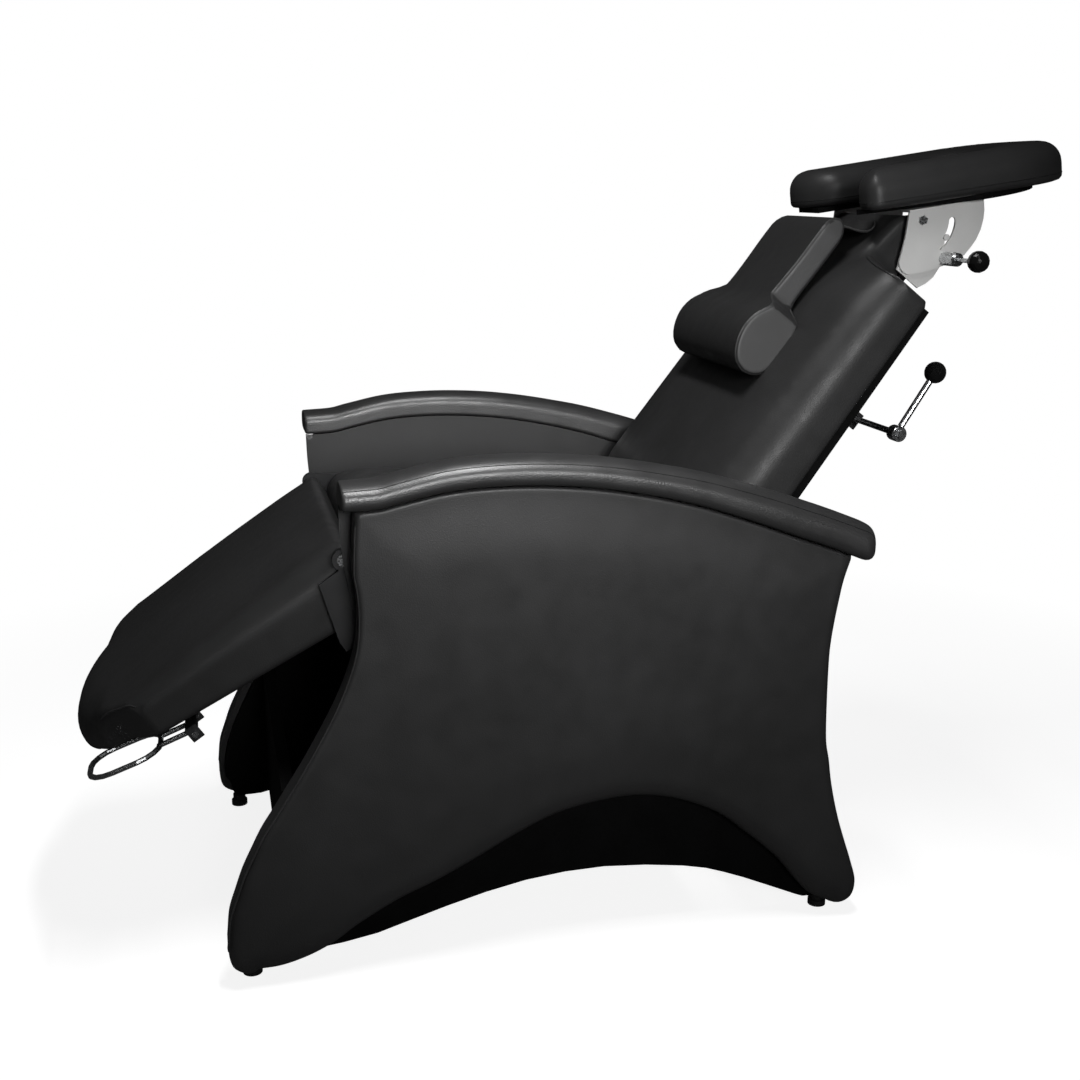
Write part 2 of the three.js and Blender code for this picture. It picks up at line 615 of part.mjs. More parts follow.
// A headed pin through the rail and the hinge arm
function hingePin(hinge) {
  const shaftEnd = armX + pivot.plate + gap;
  const inner = railX - gap;
  return turnedAlongX([
    [0, inner], [pivot.pinRadius, inner], [pivot.pinRadius, shaftEnd], [pivot.headRadius, shaftEnd],
    [pivot.headRadius, shaftEnd + pivot.headLength], [0, shaftEnd + pivot.headLength],
  ]).translate(0, hinge.y, hinge.z);
}

// Fixed bracket under the seat board that holds a gas spring's lower eye on a pin
function springBase(place) {
  const top = seat.boardLow - gap;
  const low = place.z - spring.cheekHalfWidth;
  const [y0, y1] = [place.y - spring.cheekHalfWidth, place.y + spring.cheekHalfWidth];
  const outer = spring.cheekPlace + spring.cheek;
  const pin = rodAlong('x', spring.pinRadius, -spring.cheekPlace - spring.cheek / 2,
    spring.cheekPlace + spring.cheek / 2);
  return join(
    block(-outer, outer, y0, y1, top - spring.base, top),
    block(spring.cheekPlace, outer, y0, y1, low, top - spring.base / 2),
    block(-outer, -spring.cheekPlace, y0, y1, low, top - spring.base / 2),
    pin.translate(0, place.y, place.z));
}

// Clevis on the moving frame: the rod's eye swings free between its cheeks
function springClevis(place, face) {
  const low = place.n - spring.cheekHalfWidth;
  const [s0, s1] = [place.s - spring.cheekHalfWidth, place.s + spring.cheekHalfWidth];
  const outer = spring.cheekPlace + spring.cheek;
  const head = (inner) => rodAlong('x', spring.boltRadius, inner, inner + spring.boltHead + spring.cheek / 2);
  return join(
    block(-outer, outer, s0, s1, face - spring.base, face),
    block(spring.cheekPlace, outer, s0, s1, low, face - spring.base / 2),
    block(-outer, -spring.cheekPlace, s0, s1, low, face - spring.base / 2),
    head(outer - spring.cheek / 2).translate(0, place.s, place.n),
    head(-outer - spring.boltHead).translate(0, place.s, place.n));
}

const springEye = (y) =>
  rodAlong('x', spring.eyeRadius, -spring.eyeWidth / 2, spring.eyeWidth / 2).translate(0, y, 0);
const eyeHole = (y) =>
  rodAlong('x', spring.pinRadius + gap, -spring.eyeWidth, spring.eyeWidth).translate(0, y, 0);

// Cylinder of a gas spring, along y from its lower eye, bored for the rod
function springCylinder(place) {
  const end = spring.bodyStart + place.body;
  const body = join(
    springEye(0), rodAlong('y', spring.eyeRadius * springNeckShare, spring.eyeRadius / 2,
    spring.bodyStart + overrun),
    rodAlong('y', spring.radius, spring.bodyStart, end, sides.round));
  return cut(body, eyeHole(0), rodAlong('y', spring.rodRadius + gap, spring.bodyStart + spring.wall,
    end + overrun));
}

function springRod(place, length) {
  const body = join(springEye(length), rodAlong('y', spring.rodRadius, length - place.rod,
    length - spring.eyeRadius / 2));
  return cut(body, eyeHole(length));
}

// Bracket that carries the release shaft behind the back
function releaseBracket() {
  const { s, n, bracketPlace, bracketThickness, bracketLength, bracketTip, shaftRadius } = release;
  const face = behindBoard(s - bracketLength / 2);
  const outer = bracketPlace + bracketThickness;
  const body = join(
    block(bracketPlace, outer, s - bracketTip, s + bracketTip, n - bracketTip, face),
    block(bracketPlace, outer + bracketLength / 2, s - bracketLength / 2, s + bracketLength / 2,
      face - bracketThickness, face));
  const hole = rodAlong('x', shaftRadius + gap, bracketPlace - overrun, outer + overrun);
  return cut(body, hole.translate(0, s, n));
}

// Release shaft with its crank: an arm that ends in a pin for the link
function releaseShaft() {
  const { s, n, crank, crankWidth, crankThickness, shaftRadius, shaftEnd, hubInner, hubLength,
    linkEyeWidth } = release;
  const half = crankThickness / 2;
  return join(
    rodAlong('x', shaftRadius, shaftEnd, hubInner + hubLength / 2),
    rodAlong('x', crankWidth / 2, -half, half, sides.round),
    block(-half, half, -crankWidth / 3, crankWidth / 3, -crank, -shaftRadius / 2),
    rodAlong('x', shaftRadius - 2 * gap, -half, half + linkEyeWidth + 2 * gap).translate(0, 0,
      -crank)).translate(0, s, n);
}

function releaseHub() {
  const { hubInner, hubLength, hubRadius, shaftRadius, s, n } = release;
  const chamfer = hubRadius / 8;
  const bore = shaftRadius + gap;
  const outer = hubInner + hubLength;
  return turnedAlongX([
    [bore, hubInner], [hubRadius - chamfer, hubInner], [hubRadius, hubInner + chamfer],
    [hubRadius, outer - chamfer],
    [hubRadius - chamfer, outer], [bore, outer], [bore, hubInner],
  ]).translate(0, s, n);
}

// Bolt in the hub's end, with a six-sided head
function hubBolt() {
  const { hubInner, hubLength, shaftRadius, boltRadius, boltHead, s, n } = release;
  const outer = hubInner + hubLength;
  return join(
    rodAlong('x', shaftRadius, hubInner + hubLength / 2 + gap, outer + boltHead / 2),
    rodAlong('x', boltRadius, outer + gap, outer + boltHead, 6)).translate(0, s, n);
}

const leverAngle = Math.atan2(release.knobN - release.n, release.knobS - release.s);
const leverLength = Math.hypot(release.knobN - release.n, release.knobS - release.s);

// The lever's pieces are drawn along y from the shaft and leant to the ball's place
function onLever(geometry) {
  const middle = release.hubInner + release.hubLength / 2;
  return geometry.rotateX(leverAngle).translate(middle, release.s, release.n);
}

const leverRod = () =>
  onLever(rodAlong('y', release.shaftRadius, release.hubRadius + gap, leverLength - knobRadius + knobBore));

// Ball knob with a blind bore, along y, its centre at the given distance
function ballKnob(rodRadius) {
  const bore = rodRadius + gap;
  const floor = knobBore + gap - knobRadius;
  const profile = [[0, floor], [bore, floor], [bore, -Math.sqrt(knobRadius ** 2 - bore ** 2)]];
  const steps = 10;
  const start = Math.asin(bore / knobRadius);
  for (let i = 1; i <= steps; i++) {
    const angle = start + (Math.PI - start) * i / steps;
    profile.push([i === steps ? 0 : knobRadius * Math.sin(angle), -knobRadius * Math.cos(angle)]);
  }
  return solidLathe(new THREE.LatheGeometry(profile.map(([r, y]) => new THREE.Vector2(r, y)), sides.knob));
}

// Link from the crank towards the gas spring's valve: an eye with room round the pin, and a rod
function releaseLink() {
  const { s, n, crank, crankThickness, linkEye, linkEyeBore, linkEyeWidth, linkRadius, linkEnd } = release;
  const inner = crankThickness / 2 + gap;
  const middle = inner + linkEyeWidth / 2;
  const body = join(
    rodAlong('x', linkEye, inner, inner + linkEyeWidth, sides.round).translate(0, s, n - crank),
    rodAlong('y', linkRadius - gap, linkEnd, s - linkEyeBore - gap).translate(middle, 0, n - crank));
  const hole = rodAlong('x', linkEyeBore, inner - overrun, inner + linkEyeWidth + overrun);
  return cut(body, hole.translate(0, s, n - crank));
}

function linkGuide() {
  const { n, crank, guidePlace, guideWidth, linkRadius, linkEyeWidth, crankThickness,
    bracketThickness } = release;
  const middle = crankThickness / 2 + gap + linkEyeWidth / 2;
  const face = behindBoard(guidePlace);
  const half = guideWidth / 2;
  const body = join(
    block(middle - half, middle + half, guidePlace, guidePlace + bracketThickness, n - crank - half, face),
    block(middle - half, middle + half, guidePlace, guidePlace + guideWidth, face - bracketThickness, face));
  return cut(body, rodAlong('y', linkRadius, guidePlace - overrun, guidePlace + bracketThickness + overrun)
    .translate(middle, 0, n - crank));
}

// Legrest release: a round rod bent into a loop, two legs and a pivot bar
function releaseLoop() {
  const { rod, width, length, corner, centre, s, n, tilt, pivotS, pivotN, legPlace, barLength } = loop;
  const points = [];
  const half = [width / 2 - corner, length / 2 - corner];
  const steps = 4;
  for (const [q, sx, sy] of [[0, 1, 1], [1, -1, 1], [2, -1, -1], [3, 1, -1]]) {
    for (let i = 0; i <= steps; i++) {
      const angle = (Math.PI / 2) * (q + i / steps);
      points.push([sx * half[0] + corner * Math.cos(angle), sy * half[1] + corner * Math.sin(angle)]);
    }
  }
  const count = 8;
  const rings = points.map(([x, y], i) => {
    const [before, after] = [points[(i + points.length - 1) % points.length],
      points[(i + 1) % points.length]];
    const out = new THREE.Vector2(after[1] - before[1], before[0] - after[0]).normalize();
    return Array.from({ length: count }, (_, k) => {
      const angle = 2 * Math.PI * k / count;
      return vec(x + out.x * rod * Math.cos(angle), y + out.y * rod * Math.cos(angle), rod * Math.sin(angle));
    });
  });
  const ring = loft(rings, true).translate(0, length / 2, 0).rotateX(rad(tilt)).translate(centre, s, n);
  const legLength = Math.hypot(s - pivotS, n - pivotN);
  const leg = (x) => rodAlong('y', rod * legThicknessShare, 0, legLength + rod, count)
    .rotateX(Math.atan2(n - pivotN, s - pivotS)).translate(x, pivotS, pivotN);
  const bar = rodAlong('x', rod, centre - barLength / 2, centre + barLength / 2).translate(0, pivotS, pivotN);
  return downLeg(join(ring, leg(centre - legPlace), leg(centre + legPlace), bar));
}

function loopBracket() {
  const { centre, pivotS, pivotN, earPlace, earThickness, earWidth, base, rod } = loop;
  const half = earWidth / 2;
  const face = underLegBoard(pivotS - half);
  const ear = (x) =>
    block(x - earThickness / 2, x + earThickness / 2, pivotS - half, pivotS + half, pivotN - half,
      face - base / 2);
  const body = join(
    block(centre - earPlace, centre + earPlace, pivotS - half, pivotS + half, face - base, face),
    ear(centre - earPlace), ear(centre + earPlace));
  const hole = rodAlong('x', rod + gap, centre - 2 * earPlace, centre + 2 * earPlace);
  return downLeg(cut(body, hole.translate(0, pivotS, pivotN)));
}

// Horseshoe line of the face cradle pad: one arm, the bend and the other arm, as places and the ways across
function cradleLine(start) {
  const reach = cradle.halfWidth - cradle.armWidth / 2;
  const stations = [];
  const straight = 4;
  const place = (i) => start + (cradle.bendCentre - start) * i / straight;
  for (let i = 0; i < straight; i++) stations.push([reach, place(i), 1, 0]);
  const bend = 14;
  for (let i = 0; i <= bend; i++) {
    const angle = Math.PI * i / bend;
    const [across, ahead] = [Math.cos(angle), Math.sin(angle)];
    stations.push([reach * across, cradle.bendCentre + reach * ahead, across, ahead]);
  }
  for (let i = straight - 1; i >= 0; i--) stations.push([-reach, place(i), -1, 0]);
  return stations;
}

function headrestPad() {
  const inner = cradle.armEnd + cradle.endRound;
  const low = cradle.low + cradle.boardThickness + gap;
  const line = cradleLine(inner);
  const tip = (sign) =>
    headrestTipShares.map(([a, full]) =>
      [sign * line[0][0], cradle.armEnd + a * cradle.endRound, sign, 0, full]);
  const stations = [...tip(1), ...line.map((p) => [...p, 1]), ...tip(-1).reverse()];
  return loft(stations.map(([x, v, ax, av, full]) => {
    const share = (v - cradle.armEnd) / (cradle.bendCentre + cradle.halfWidth - cradle.armEnd);
    const height = (cradle.padHeight + cradle.padGrowth * share);
    const half = height / 2 * full;
    return superRing(16, cradle.power, cradle.armWidth / 2 * full, half)
      .map(([across, up]) => vec(x + ax * across, v + av * across, low + height / 2 + up));
  }));
}

// Board under the pad
function headrestBoard() {
  const inset = cradle.boardInset;
  const [outer, inner] = [cradle.halfWidth - inset, cradle.halfWidth - cradle.armWidth + inset];
  const end = cradle.armEnd + inset;
  const shape = new THREE.Shape();
  shape.moveTo(outer, end);
  shape.absarc(0, cradle.bendCentre, outer, 0, Math.PI, false);
  shape.lineTo(-outer, end);
  shape.lineTo(-inner, end);
  shape.absarc(0, cradle.bendCentre, inner, Math.PI, 0, true);
  shape.lineTo(inner, end);
  const options = { depth: cradle.boardThickness, bevelEnabled: false, curveSegments: 14 };
  return new THREE.ExtrudeGeometry(shape, options).translate(0, 0, cradle.low);
}

// Tilting plate, slotted round the pivot, with a flange under the headrest board
function tiltPlate() {
  const size = [plate.length, cradle.low - gap - plate.low];
  const corners = at(tiltPlateShares, [plate.left, plate.low], size);
  const outline = new THREE.Shape(corners);
  const top = cradle.low - gap;
  const body = join(
    plateOf(outline, plate.thickness, plateX),
    block(plateX - plate.flange, plateX + plate.thickness, plate.flangeStart, plate.flangeEnd,
      top - plate.thickness, top));
  const through = (radius, v, w) =>
    rodAlong('x', radius, plateX - overrun, plateX + plate.thickness + overrun).translate(0, v, w);
  return cut(body, through(plate.boltRadius + gap, 0, 0),
    through(plunger.shank + gap, plunger.v, plunger.w), arcSlot());
}

function arcSlot() {
  const [outer, inner] = [plate.slotRadius + plate.slotWidth / 2, plate.slotRadius - plate.slotWidth / 2];
  const [from, to] = [rad(plate.slotEnd), rad(plate.slotStart)];
  const shape = new THREE.Shape();
  const round = plate.slotWidth / 2;
  shape.absarc(0, 0, outer, from, to, false);
  const end = (angle) => [plate.slotRadius * Math.cos(angle), plate.slotRadius * Math.sin(angle)];
  shape.absarc(...end(to), round, to, to + Math.PI, false);
  shape.absarc(0, 0, inner, to, from, true);
  shape.absarc(...end(from), round, from + Math.PI, from + 2 * Math.PI, false);
  return plateOf(shape, plate.thickness + 2 * overrun, plateX - overrun);
}

// Fixed plate on the neck board, with its guide stud and a row of index holes
function fixedPlateBody() {
  const corners = at(fixedPlateShares, [cradleS, cradle.pivotN], [fixedPlate.length, fixedPlate.depth]);
  const shape = new THREE.Shape([...corners, ...lugTop()]);
  const flat = plateOf(shape, plate.thickness, plate.fixedInner);
  const hole = (radius, s, n) =>
    rodAlong('x', radius, plate.fixedInner - overrun,
      plate.fixedInner + plate.thickness + overrun).translate(0, s, n);
  const lean = rad(cradle.tilt - backHinge.angle);
  const reach = Math.hypot(plunger.v, plunger.w);
  const start = Math.atan2(plunger.w, plunger.v) + lean;
  const holes = [-1, 0, 1].map((k) => {
    const angle = start + k * rad(plate.indexStep);
    return hole(plate.indexHole, cradleS + reach * Math.cos(angle), cradle.pivotN + reach * Math.sin(angle));
  });
  const [studS, studN] = studPlace();
  const stud = rodAlong('x', plate.studRadius, plate.fixedInner + plate.thickness / 2,
    plateX + plate.thickness - gap);
  const body = join(flat, stud.translate(0, studS, studN));
  return cut(body, hole(plate.boltRadius + gap, cradleS, cradle.pivotN), ...holes);
}

function lugTop() {
  const steps = 5;
  return Array.from({ length: steps }, (_, i) => {
    const angle = rad(plate.lugTurn) * (i + 0.5) / steps;
    return new THREE.Vector2(cradleS + plate.lug * Math.cos(angle),
      cradle.pivotN + plate.lug * Math.sin(angle));
  });
}

function studPlace() {
  const angle = rad(plate.studAngle - backHinge.angle);
  return [cradleS + plate.slotRadius * Math.cos(angle), cradle.pivotN + plate.slotRadius * Math.sin(angle)];
}

// Pivot bolt with a six-sided head outside the tilting plate
function pivotBolt() {
  const headStart = plateX + plate.thickness + gap;
  const bolt = join(
    rodAlong('x', plate.boltRadius, plate.fixedInner, headStart + plate.boltHeadHeight / 2),
    rodAlong('x', plate.boltHead, headStart, headStart + plate.boltHeadHeight, 6));
  return bolt.translate(0, cradleS, cradle.pivotN);
}

// Plunger barrel on the tilting plate, bored for its rod, with a chamfered outer end
function plungerBarrel() {
  const start = plateX + plate.thickness + gap;
  const end = start + plunger.barrelLength;
  const bore = plunger.rodRadius + gap;
  return turnedAlongX([
    [bore, plateX], [plunger.shank, plateX], [plunger.shank, start], [plunger.barrelRadius, start],
    [plunger.barrelRadius, end - plunger.chamfer], [plunger.barrelRadius - plunger.chamfer, end], [bore, end],
    [bore, plateX],
  ]).translate(0, plunger.v, plunger.w);
}

const plungerRod = () => rodAlong('x', plunger.rodRadius, plateX, plunger.knobPlace - knobRadius + knobBore)
  .translate(0, plunger.v, plunger.w);

const plungerKnob = () =>
  ballKnob(plunger.rodRadius).rotateZ(-Math.PI / 2).translate(plunger.knobPlace, plunger.v, plunger.w);

// A turned frame at a hinge, whose y runs along what the hinge carries
function hingeFrame(parent, y, z, angle) {
  const frame = new THREE.Group();
  frame.position.set(0, y, z);
  frame.rotation.x = rad(angle);
  parent.add(frame);
  return frame;
}

function addSides(chair) {
  addPair(chair, 'side_board', sideBoard(), paintedBoard);
  addPair(chair, 'side_panel', sidePanel(), vinyl);
  addPair(chair, 'arm_cap', armCap(), vinyl);
  const middle = side.innerFace + side.board / 2;
  for (const [end, share] of [['front', foot.frontShare], ['rear', foot.rearShare]]) {
    addPair(chair, `levelling_foot_${end}`, levellingFoot().translate(middle, alongSide(share), 0),
      footPlastic);
  }
}

function addSeat(chair) {
  const inner = side.innerFace - gap;
  const { thickness, frontShare, frontLow, frontHigh, rearShare, rearLow, rearHigh } = crossBoard;
  const upright = (share, low, high) =>
    block(-inner, inner, alongSide(share) - thickness / 2, alongSide(share) + thickness / 2, low, high);
  add(chair, 'front_cross_board', upright(frontShare, frontLow, frontHigh), paintedBoard());
  add(chair, 'rear_cross_board', upright(rearShare, rearLow, rearHigh), paintedBoard());
  const deck = block(-inner, inner, seat.boardFront, seat.boardRear, seat.boardLow, deckHeight);
  add(chair, 'seat_board', deck, paintedBoard());
  add(chair, 'seat_cushion', seatCushion(), vinyl());
  addPair(chair, 'seat_rail', seatRail(), blackSteel);
  addPair(chair, 'back_hinge_pin', hingePin(backHinge), brightSteel);
  addPair(chair, 'legrest_hinge_pin', hingePin(legHinge), brightSteel);
  add(chair, 'back_spring_base', springBase(backSpring), blackSteel());
  add(chair, 'legrest_spring_base', springBase(legSpring), blackSteel());
}

function addLegrest(chair) {
  const frame = hingeFrame(chair, legHinge.y, legHinge.z, legHinge.angle);
  add(frame, 'legrest_board', legBoard(), paintedBoard());
  add(frame, 'legrest_cushion', legCushion(), vinyl());
  const arm = { start: legrest.armStart, end: legrest.armEnd, face: underLegBoard(0),
    taper: legrest.underTaper };
  addPair(frame, 'legrest_arm', downLeg(hingeArm(arm)), blackSteel);
  const clevis = springClevis(legSpring, underLegBoard(legSpring.s - spring.cheekHalfWidth));
  add(frame, 'legrest_spring_clevis', downLeg(clevis), blackSteel());
  add(frame, 'legrest_release_bracket', loopBracket(), blackSteel());
  add(frame, 'legrest_release_loop', releaseLoop(), brightSteel());
}

function addBack(chair) {
  const frame = hingeFrame(chair, backHinge.y, backHinge.z, backHinge.angle);
  add(frame, 'back_board', backBoard(), paintedBoard());
  add(frame, 'back_cushion', backCushion(), vinyl());
  const arm = { start: back.armStart, end: back.armEnd, face: behindBoard(0), taper: back.rearTaper };
  addPair(frame, 'back_arm', hingeArm(arm), blackSteel);
  add(frame, 'neck_pillow', neckPillow(), vinyl());
  add(frame, 'pillow_flap', pillowFlap(), vinyl());
  const clevis = springClevis(backSpring, behindBoard(backSpring.s - spring.cheekHalfWidth));
  add(frame, 'back_spring_clevis', clevis, blackSteel());
  addPair(frame, 'release_bracket', releaseBracket(), blackSteel);
  add(frame, 'release_shaft', releaseShaft(), brightSteel());
  add(frame, 'release_hub', releaseHub(), brightSteel());
  add(frame, 'release_hub_bolt', hubBolt(), brightSteel());
  add(frame, 'release_lever_rod', leverRod(), brightSteel());
  add(frame, 'release_ball_knob', onLever(ballKnob(release.shaftRadius).translate(0, leverLength, 0)),
    knobPlastic());
  add(frame, 'release_link', releaseLink(), brightSteel());
  add(frame, 'release_link_guide', linkGuide(), blackSteel());
  addPair(frame, 'headrest_fixed_plate', fixedPlateBody(), whiteSteel);
  addPair(frame, 'headrest_pivot_bolt', pivotBolt(), brightSteel);
  addHeadrest(hingeFrame(frame, cradleS, cradle.pivotN, cradle.tilt - backHinge.angle));
}

function addHeadrest(frame) {
  addPair(frame, 'headrest_tilt_plate', tiltPlate(), whiteSteel);
  add(frame, 'headrest_board', headrestBoard(), paintedBoard());
  add(frame, 'headrest_pad', headrestPad(), vinyl());
  add(frame, 'plunger_barrel', plungerBarrel(), brightSteel());
  add(frame, 'plunger_rod', plungerRod(), brightSteel());
  add(frame, 'plunger_ball_knob', plungerKnob(), knobPlastic());
}

// A gas spring between its base pin and the place of its upper eye
function addSpring(chair, name, place, hinge, ahead) {
  const along = rad(hinge.angle);
  const y = hinge.y + ahead * place.s * Math.cos(along) - place.n * Math.sin(along);
  const z = hinge.z + ahead * place.s * Math.sin(along) + place.n * Math.cos(along);
  const [dy, dz] = [y - place.y, z - place.z];
  const frame = hingeFrame(chair, place.y, place.z, THREE.MathUtils.radToDeg(Math.atan2(dz, dy)));
  add(frame, `${name}_cylinder`, springCylinder(place), blackSteel());
  add(frame, `${name}_rod`, springRod(place, Math.hypot(dy, dz)), brightSteel());
}

const chair = new THREE.Group();
addSides(chair);
addSeat(chair);
addLegrest(chair);
addBack(chair);
addSpring(chair, 'back_spring', backSpring, backHinge, 1);
addSpring(chair, 'legrest_spring', legSpring, legHinge, -1);

// The origin is the middle of the chair's box, at the floor
chair.updateMatrixWorld(true);
const box = new THREE.Box3().setFromObject(chair, true);
const centre = box.getCenter(vec(0, 0, 0));
chair.position.set(-centre.x, -centre.y, -box.min.z);

export default chair;
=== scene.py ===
import json
import math

import bpy
import numpy as np
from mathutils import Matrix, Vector
from mathutils.geometry import delaunay_2d_cdt


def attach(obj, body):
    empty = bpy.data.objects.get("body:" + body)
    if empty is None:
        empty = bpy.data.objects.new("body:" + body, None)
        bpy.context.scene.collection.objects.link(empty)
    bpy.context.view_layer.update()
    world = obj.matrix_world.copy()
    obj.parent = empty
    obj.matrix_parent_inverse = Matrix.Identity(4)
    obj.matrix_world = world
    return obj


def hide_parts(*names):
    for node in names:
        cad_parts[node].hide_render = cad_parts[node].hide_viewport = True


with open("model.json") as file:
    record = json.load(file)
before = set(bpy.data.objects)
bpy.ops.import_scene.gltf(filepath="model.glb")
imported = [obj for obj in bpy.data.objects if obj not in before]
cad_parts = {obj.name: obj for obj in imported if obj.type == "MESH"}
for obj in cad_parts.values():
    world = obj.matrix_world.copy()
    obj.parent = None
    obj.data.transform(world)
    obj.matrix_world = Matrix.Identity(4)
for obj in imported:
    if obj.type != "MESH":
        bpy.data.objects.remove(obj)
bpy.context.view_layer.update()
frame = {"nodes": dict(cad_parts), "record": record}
nodes = frame["nodes"]

SHIFT = -0.23512                      # where the sides' own lengthways zero lies in the frame
HALF = 0.265                          # half width of the cushions
SIDE_INNER, SIDE_BOARD, SIDE_OUTER = 0.286, 0.306, 0.350
CAP_INNER, CAP_OUTER = 0.283, 0.360


class Plane:
    """A local frame: u, v along a piece's plan and w square out of it."""

    def __init__(self, origin, u, v, w):
        self.origin = np.array(origin, float)
        self.axes = np.array([u, v, w], float)

    def place(self, points):
        return self.origin + np.asarray(points, float) @ self.axes


def slope(degrees):
    return math.cos(math.radians(degrees)), math.sin(math.radians(degrees))


C52, S52 = slope(52)
C34, S34 = slope(34.5)
C8, S8 = slope(8)
BACK = Plane((0, 0.13288, 0.553), (1, 0, 0), (0, C52, S52), (0, -S52, C52))
BACK_PROFILE = Plane(BACK.origin, (0, C52, S52), (0, -S52, C52), (1, 0, 0))
LEG = Plane((0, -0.38512, 0.600), (1, 0, 0), (0, -C34, -S34), (0, -S34, C34))
SEAT = Plane((0, SHIFT, 0), (1, 0, 0), (0, 1, 0), (0, 0, 1))
HEAD = Plane((0, 0.53294, 1.0488), (1, 0, 0), (0, C8, S8), (0, -S8, C8))


def side_plane(sign):
    return Plane((0, SHIFT, 0), (0, 1, 0), (0, 0, 1), (sign, 0, 0))


# Curves

def smooth_line(points, step):
    """An open Catmull-Rom curve through the points, in even steps."""
    p = np.array(points, float)
    if len(p) == 2:
        n = max(1, round(np.linalg.norm(p[1] - p[0]) / step))
        return p[0] + (p[1] - p[0]) * np.linspace(0, 1, n + 1)[:, None]
    ext = np.vstack([2 * p[0] - p[1], p, 2 * p[-1] - p[-2]])
    fine = []
    for i in range(len(p) - 1):
        a, b, c, d = ext[i:i + 4]
        for t in np.linspace(0, 1, 24, endpoint=False):
            fine.append(0.5 * (2 * b + (c - a) * t + (2 * a - 5 * b + 4 * c - d) * t * t
                               + (3 * b - a - 3 * c + d) * t ** 3))
    fine.append(p[-1])
    return even(np.array(fine), step)


def even(line, step):
    run = np.concatenate([[0], np.cumsum(np.linalg.norm(np.diff(line, axis=0), axis=1))])
    n = max(1, round(run[-1] / step))
    at = np.linspace(0, run[-1], n + 1)
    return np.stack([np.interp(at, run, line[:, k]) for k in range(line.shape[1])], 1)


def mirrored(line):
    """The same line on the other side of the middle, walked backwards."""
    out = line[::-1].copy()
    out[:, 0] *= -1
    return out


def nearest(points, line):
    """Distance from each point to an open line, and the nearest place on it."""
    a, b = line[:-1], line[1:]
    ab = b - a
    best = np.full(len(points), 1e9)
    spot = np.zeros_like(points)
    for start in range(0, len(points), 2000):
        part = points[start:start + 2000]
        t = np.einsum("pks,ks->pk", part[:, None] - a, ab) / np.maximum((ab ** 2).sum(1), 1e-18)
        t = np.clip(t, 0, 1)
        q = a + t[..., None] * ab
        d = np.linalg.norm(part[:, None] - q, axis=2)
        k = d.argmin(1)
        rows = np.arange(len(part))
        best[start:start + 2000] = d[rows, k]
        spot[start:start + 2000] = q[rows, k]
    return best, spot


def within(points, loop):
    x, y = points[:, 0], points[:, 1]
    inside = np.zeros(len(points), bool)
    for (x0, y0), (x1, y1) in zip(loop, np.roll(loop, -1, 0)):
        cross = (y0 > y) != (y1 > y)
        inside ^= cross & (x < (x1 - x0) * (y - y0) / (y1 - y0 + 1e-30) + x0)
    return inside


def signed_area(loop):
    """Twice the area that the loop encloses, positive when it is walked anticlockwise."""
    return np.sum(loop[:, 0] * np.roll(loop[:, 1], -1) - loop[:, 1] * np.roll(loop[:, 0], -1))


def step_up(value, low, high):
    t = np.clip((value - low) / (high - low), 0, 1)
    return t * t * (3 - 2 * t)


# Meshes

def make_object(name, vertices, faces, crease=50):
    mesh = bpy.data.meshes.new(name)
    mesh.from_pydata([tuple(v) for v in vertices], [], [tuple(int(i) for i in f) for f in faces])
    mesh.update()
    obj = bpy.data.objects.new(name, mesh)
    bpy.context.scene.collection.objects.link(obj)
    bpy.context.view_layer.objects.active = obj
    mesh.polygons.foreach_set("use_smooth", [True] * len(mesh.polygons))
    mesh.set_sharp_from_angle(angle=math.radians(crease))
    return obj


def facing_out(vertices, faces):
    """Turns every face over when the closed mesh is inside out."""
    v = np.asarray(vertices)
    volume = 0.0
    for f in faces:
        for i in range(1, len(f) - 1):
            volume += np.dot(v[f[0]], np.cross(v[f[i]], v[f[i + 1]]))
    return faces if volume > 0 else [tuple(reversed(f)) for f in faces]


def skin(outline, step, insets):
    """Triangles over a closed plan: rows that follow its edge, and an even grid inside."""
    n = len(outline)
    tangent = np.roll(outline, -1, 0) - np.roll(outline, 1, 0)
    tangent /= np.linalg.norm(tangent, axis=1)[:, None]
    inward = np.stack([-tangent[:, 1], tangent[:, 0]], 1) * (1 if signed_area(outline) > 0 else -1)
    closed = np.vstack([outline, outline[:1]])
    points = [outline]
    for inset in insets:
        ring = outline + inward * inset
        ring = ring[::max(1, int(inset / 0.012))]
        ring = ring[within(ring, outline)]
        points.append(ring[nearest(ring, closed)[0] > inset * 0.96])
    lo, hi = outline.min(0), outline.max(0)
    xs, ys = np.arange(lo[0], hi[0], step), np.arange(lo[1], hi[1], step)
    grid = np.stack(np.meshgrid(xs, ys, indexing="ij"), -1)
    grid[1::2, :, 1] += step / 2
    grid = grid.reshape(-1, 2)
    grid = grid[within(grid, outline)]
    points.append(grid[nearest(grid, closed)[0] > insets[-1] + step * 0.6])
    every = np.vstack(points)
    edges = [(i, (i + 1) % n) for i in range(n)]
    verts, _, tris, origin, _, _ = delaunay_2d_cdt([Vector(p) for p in every], edges, [], 1, 1e-7)
    first = [o[0] if o else -1 for o in origin]
    assert all(f >= 0 for f in first), "the plan crosses itself"
    return every, [tuple(first[i] for i in t) for t in tris]


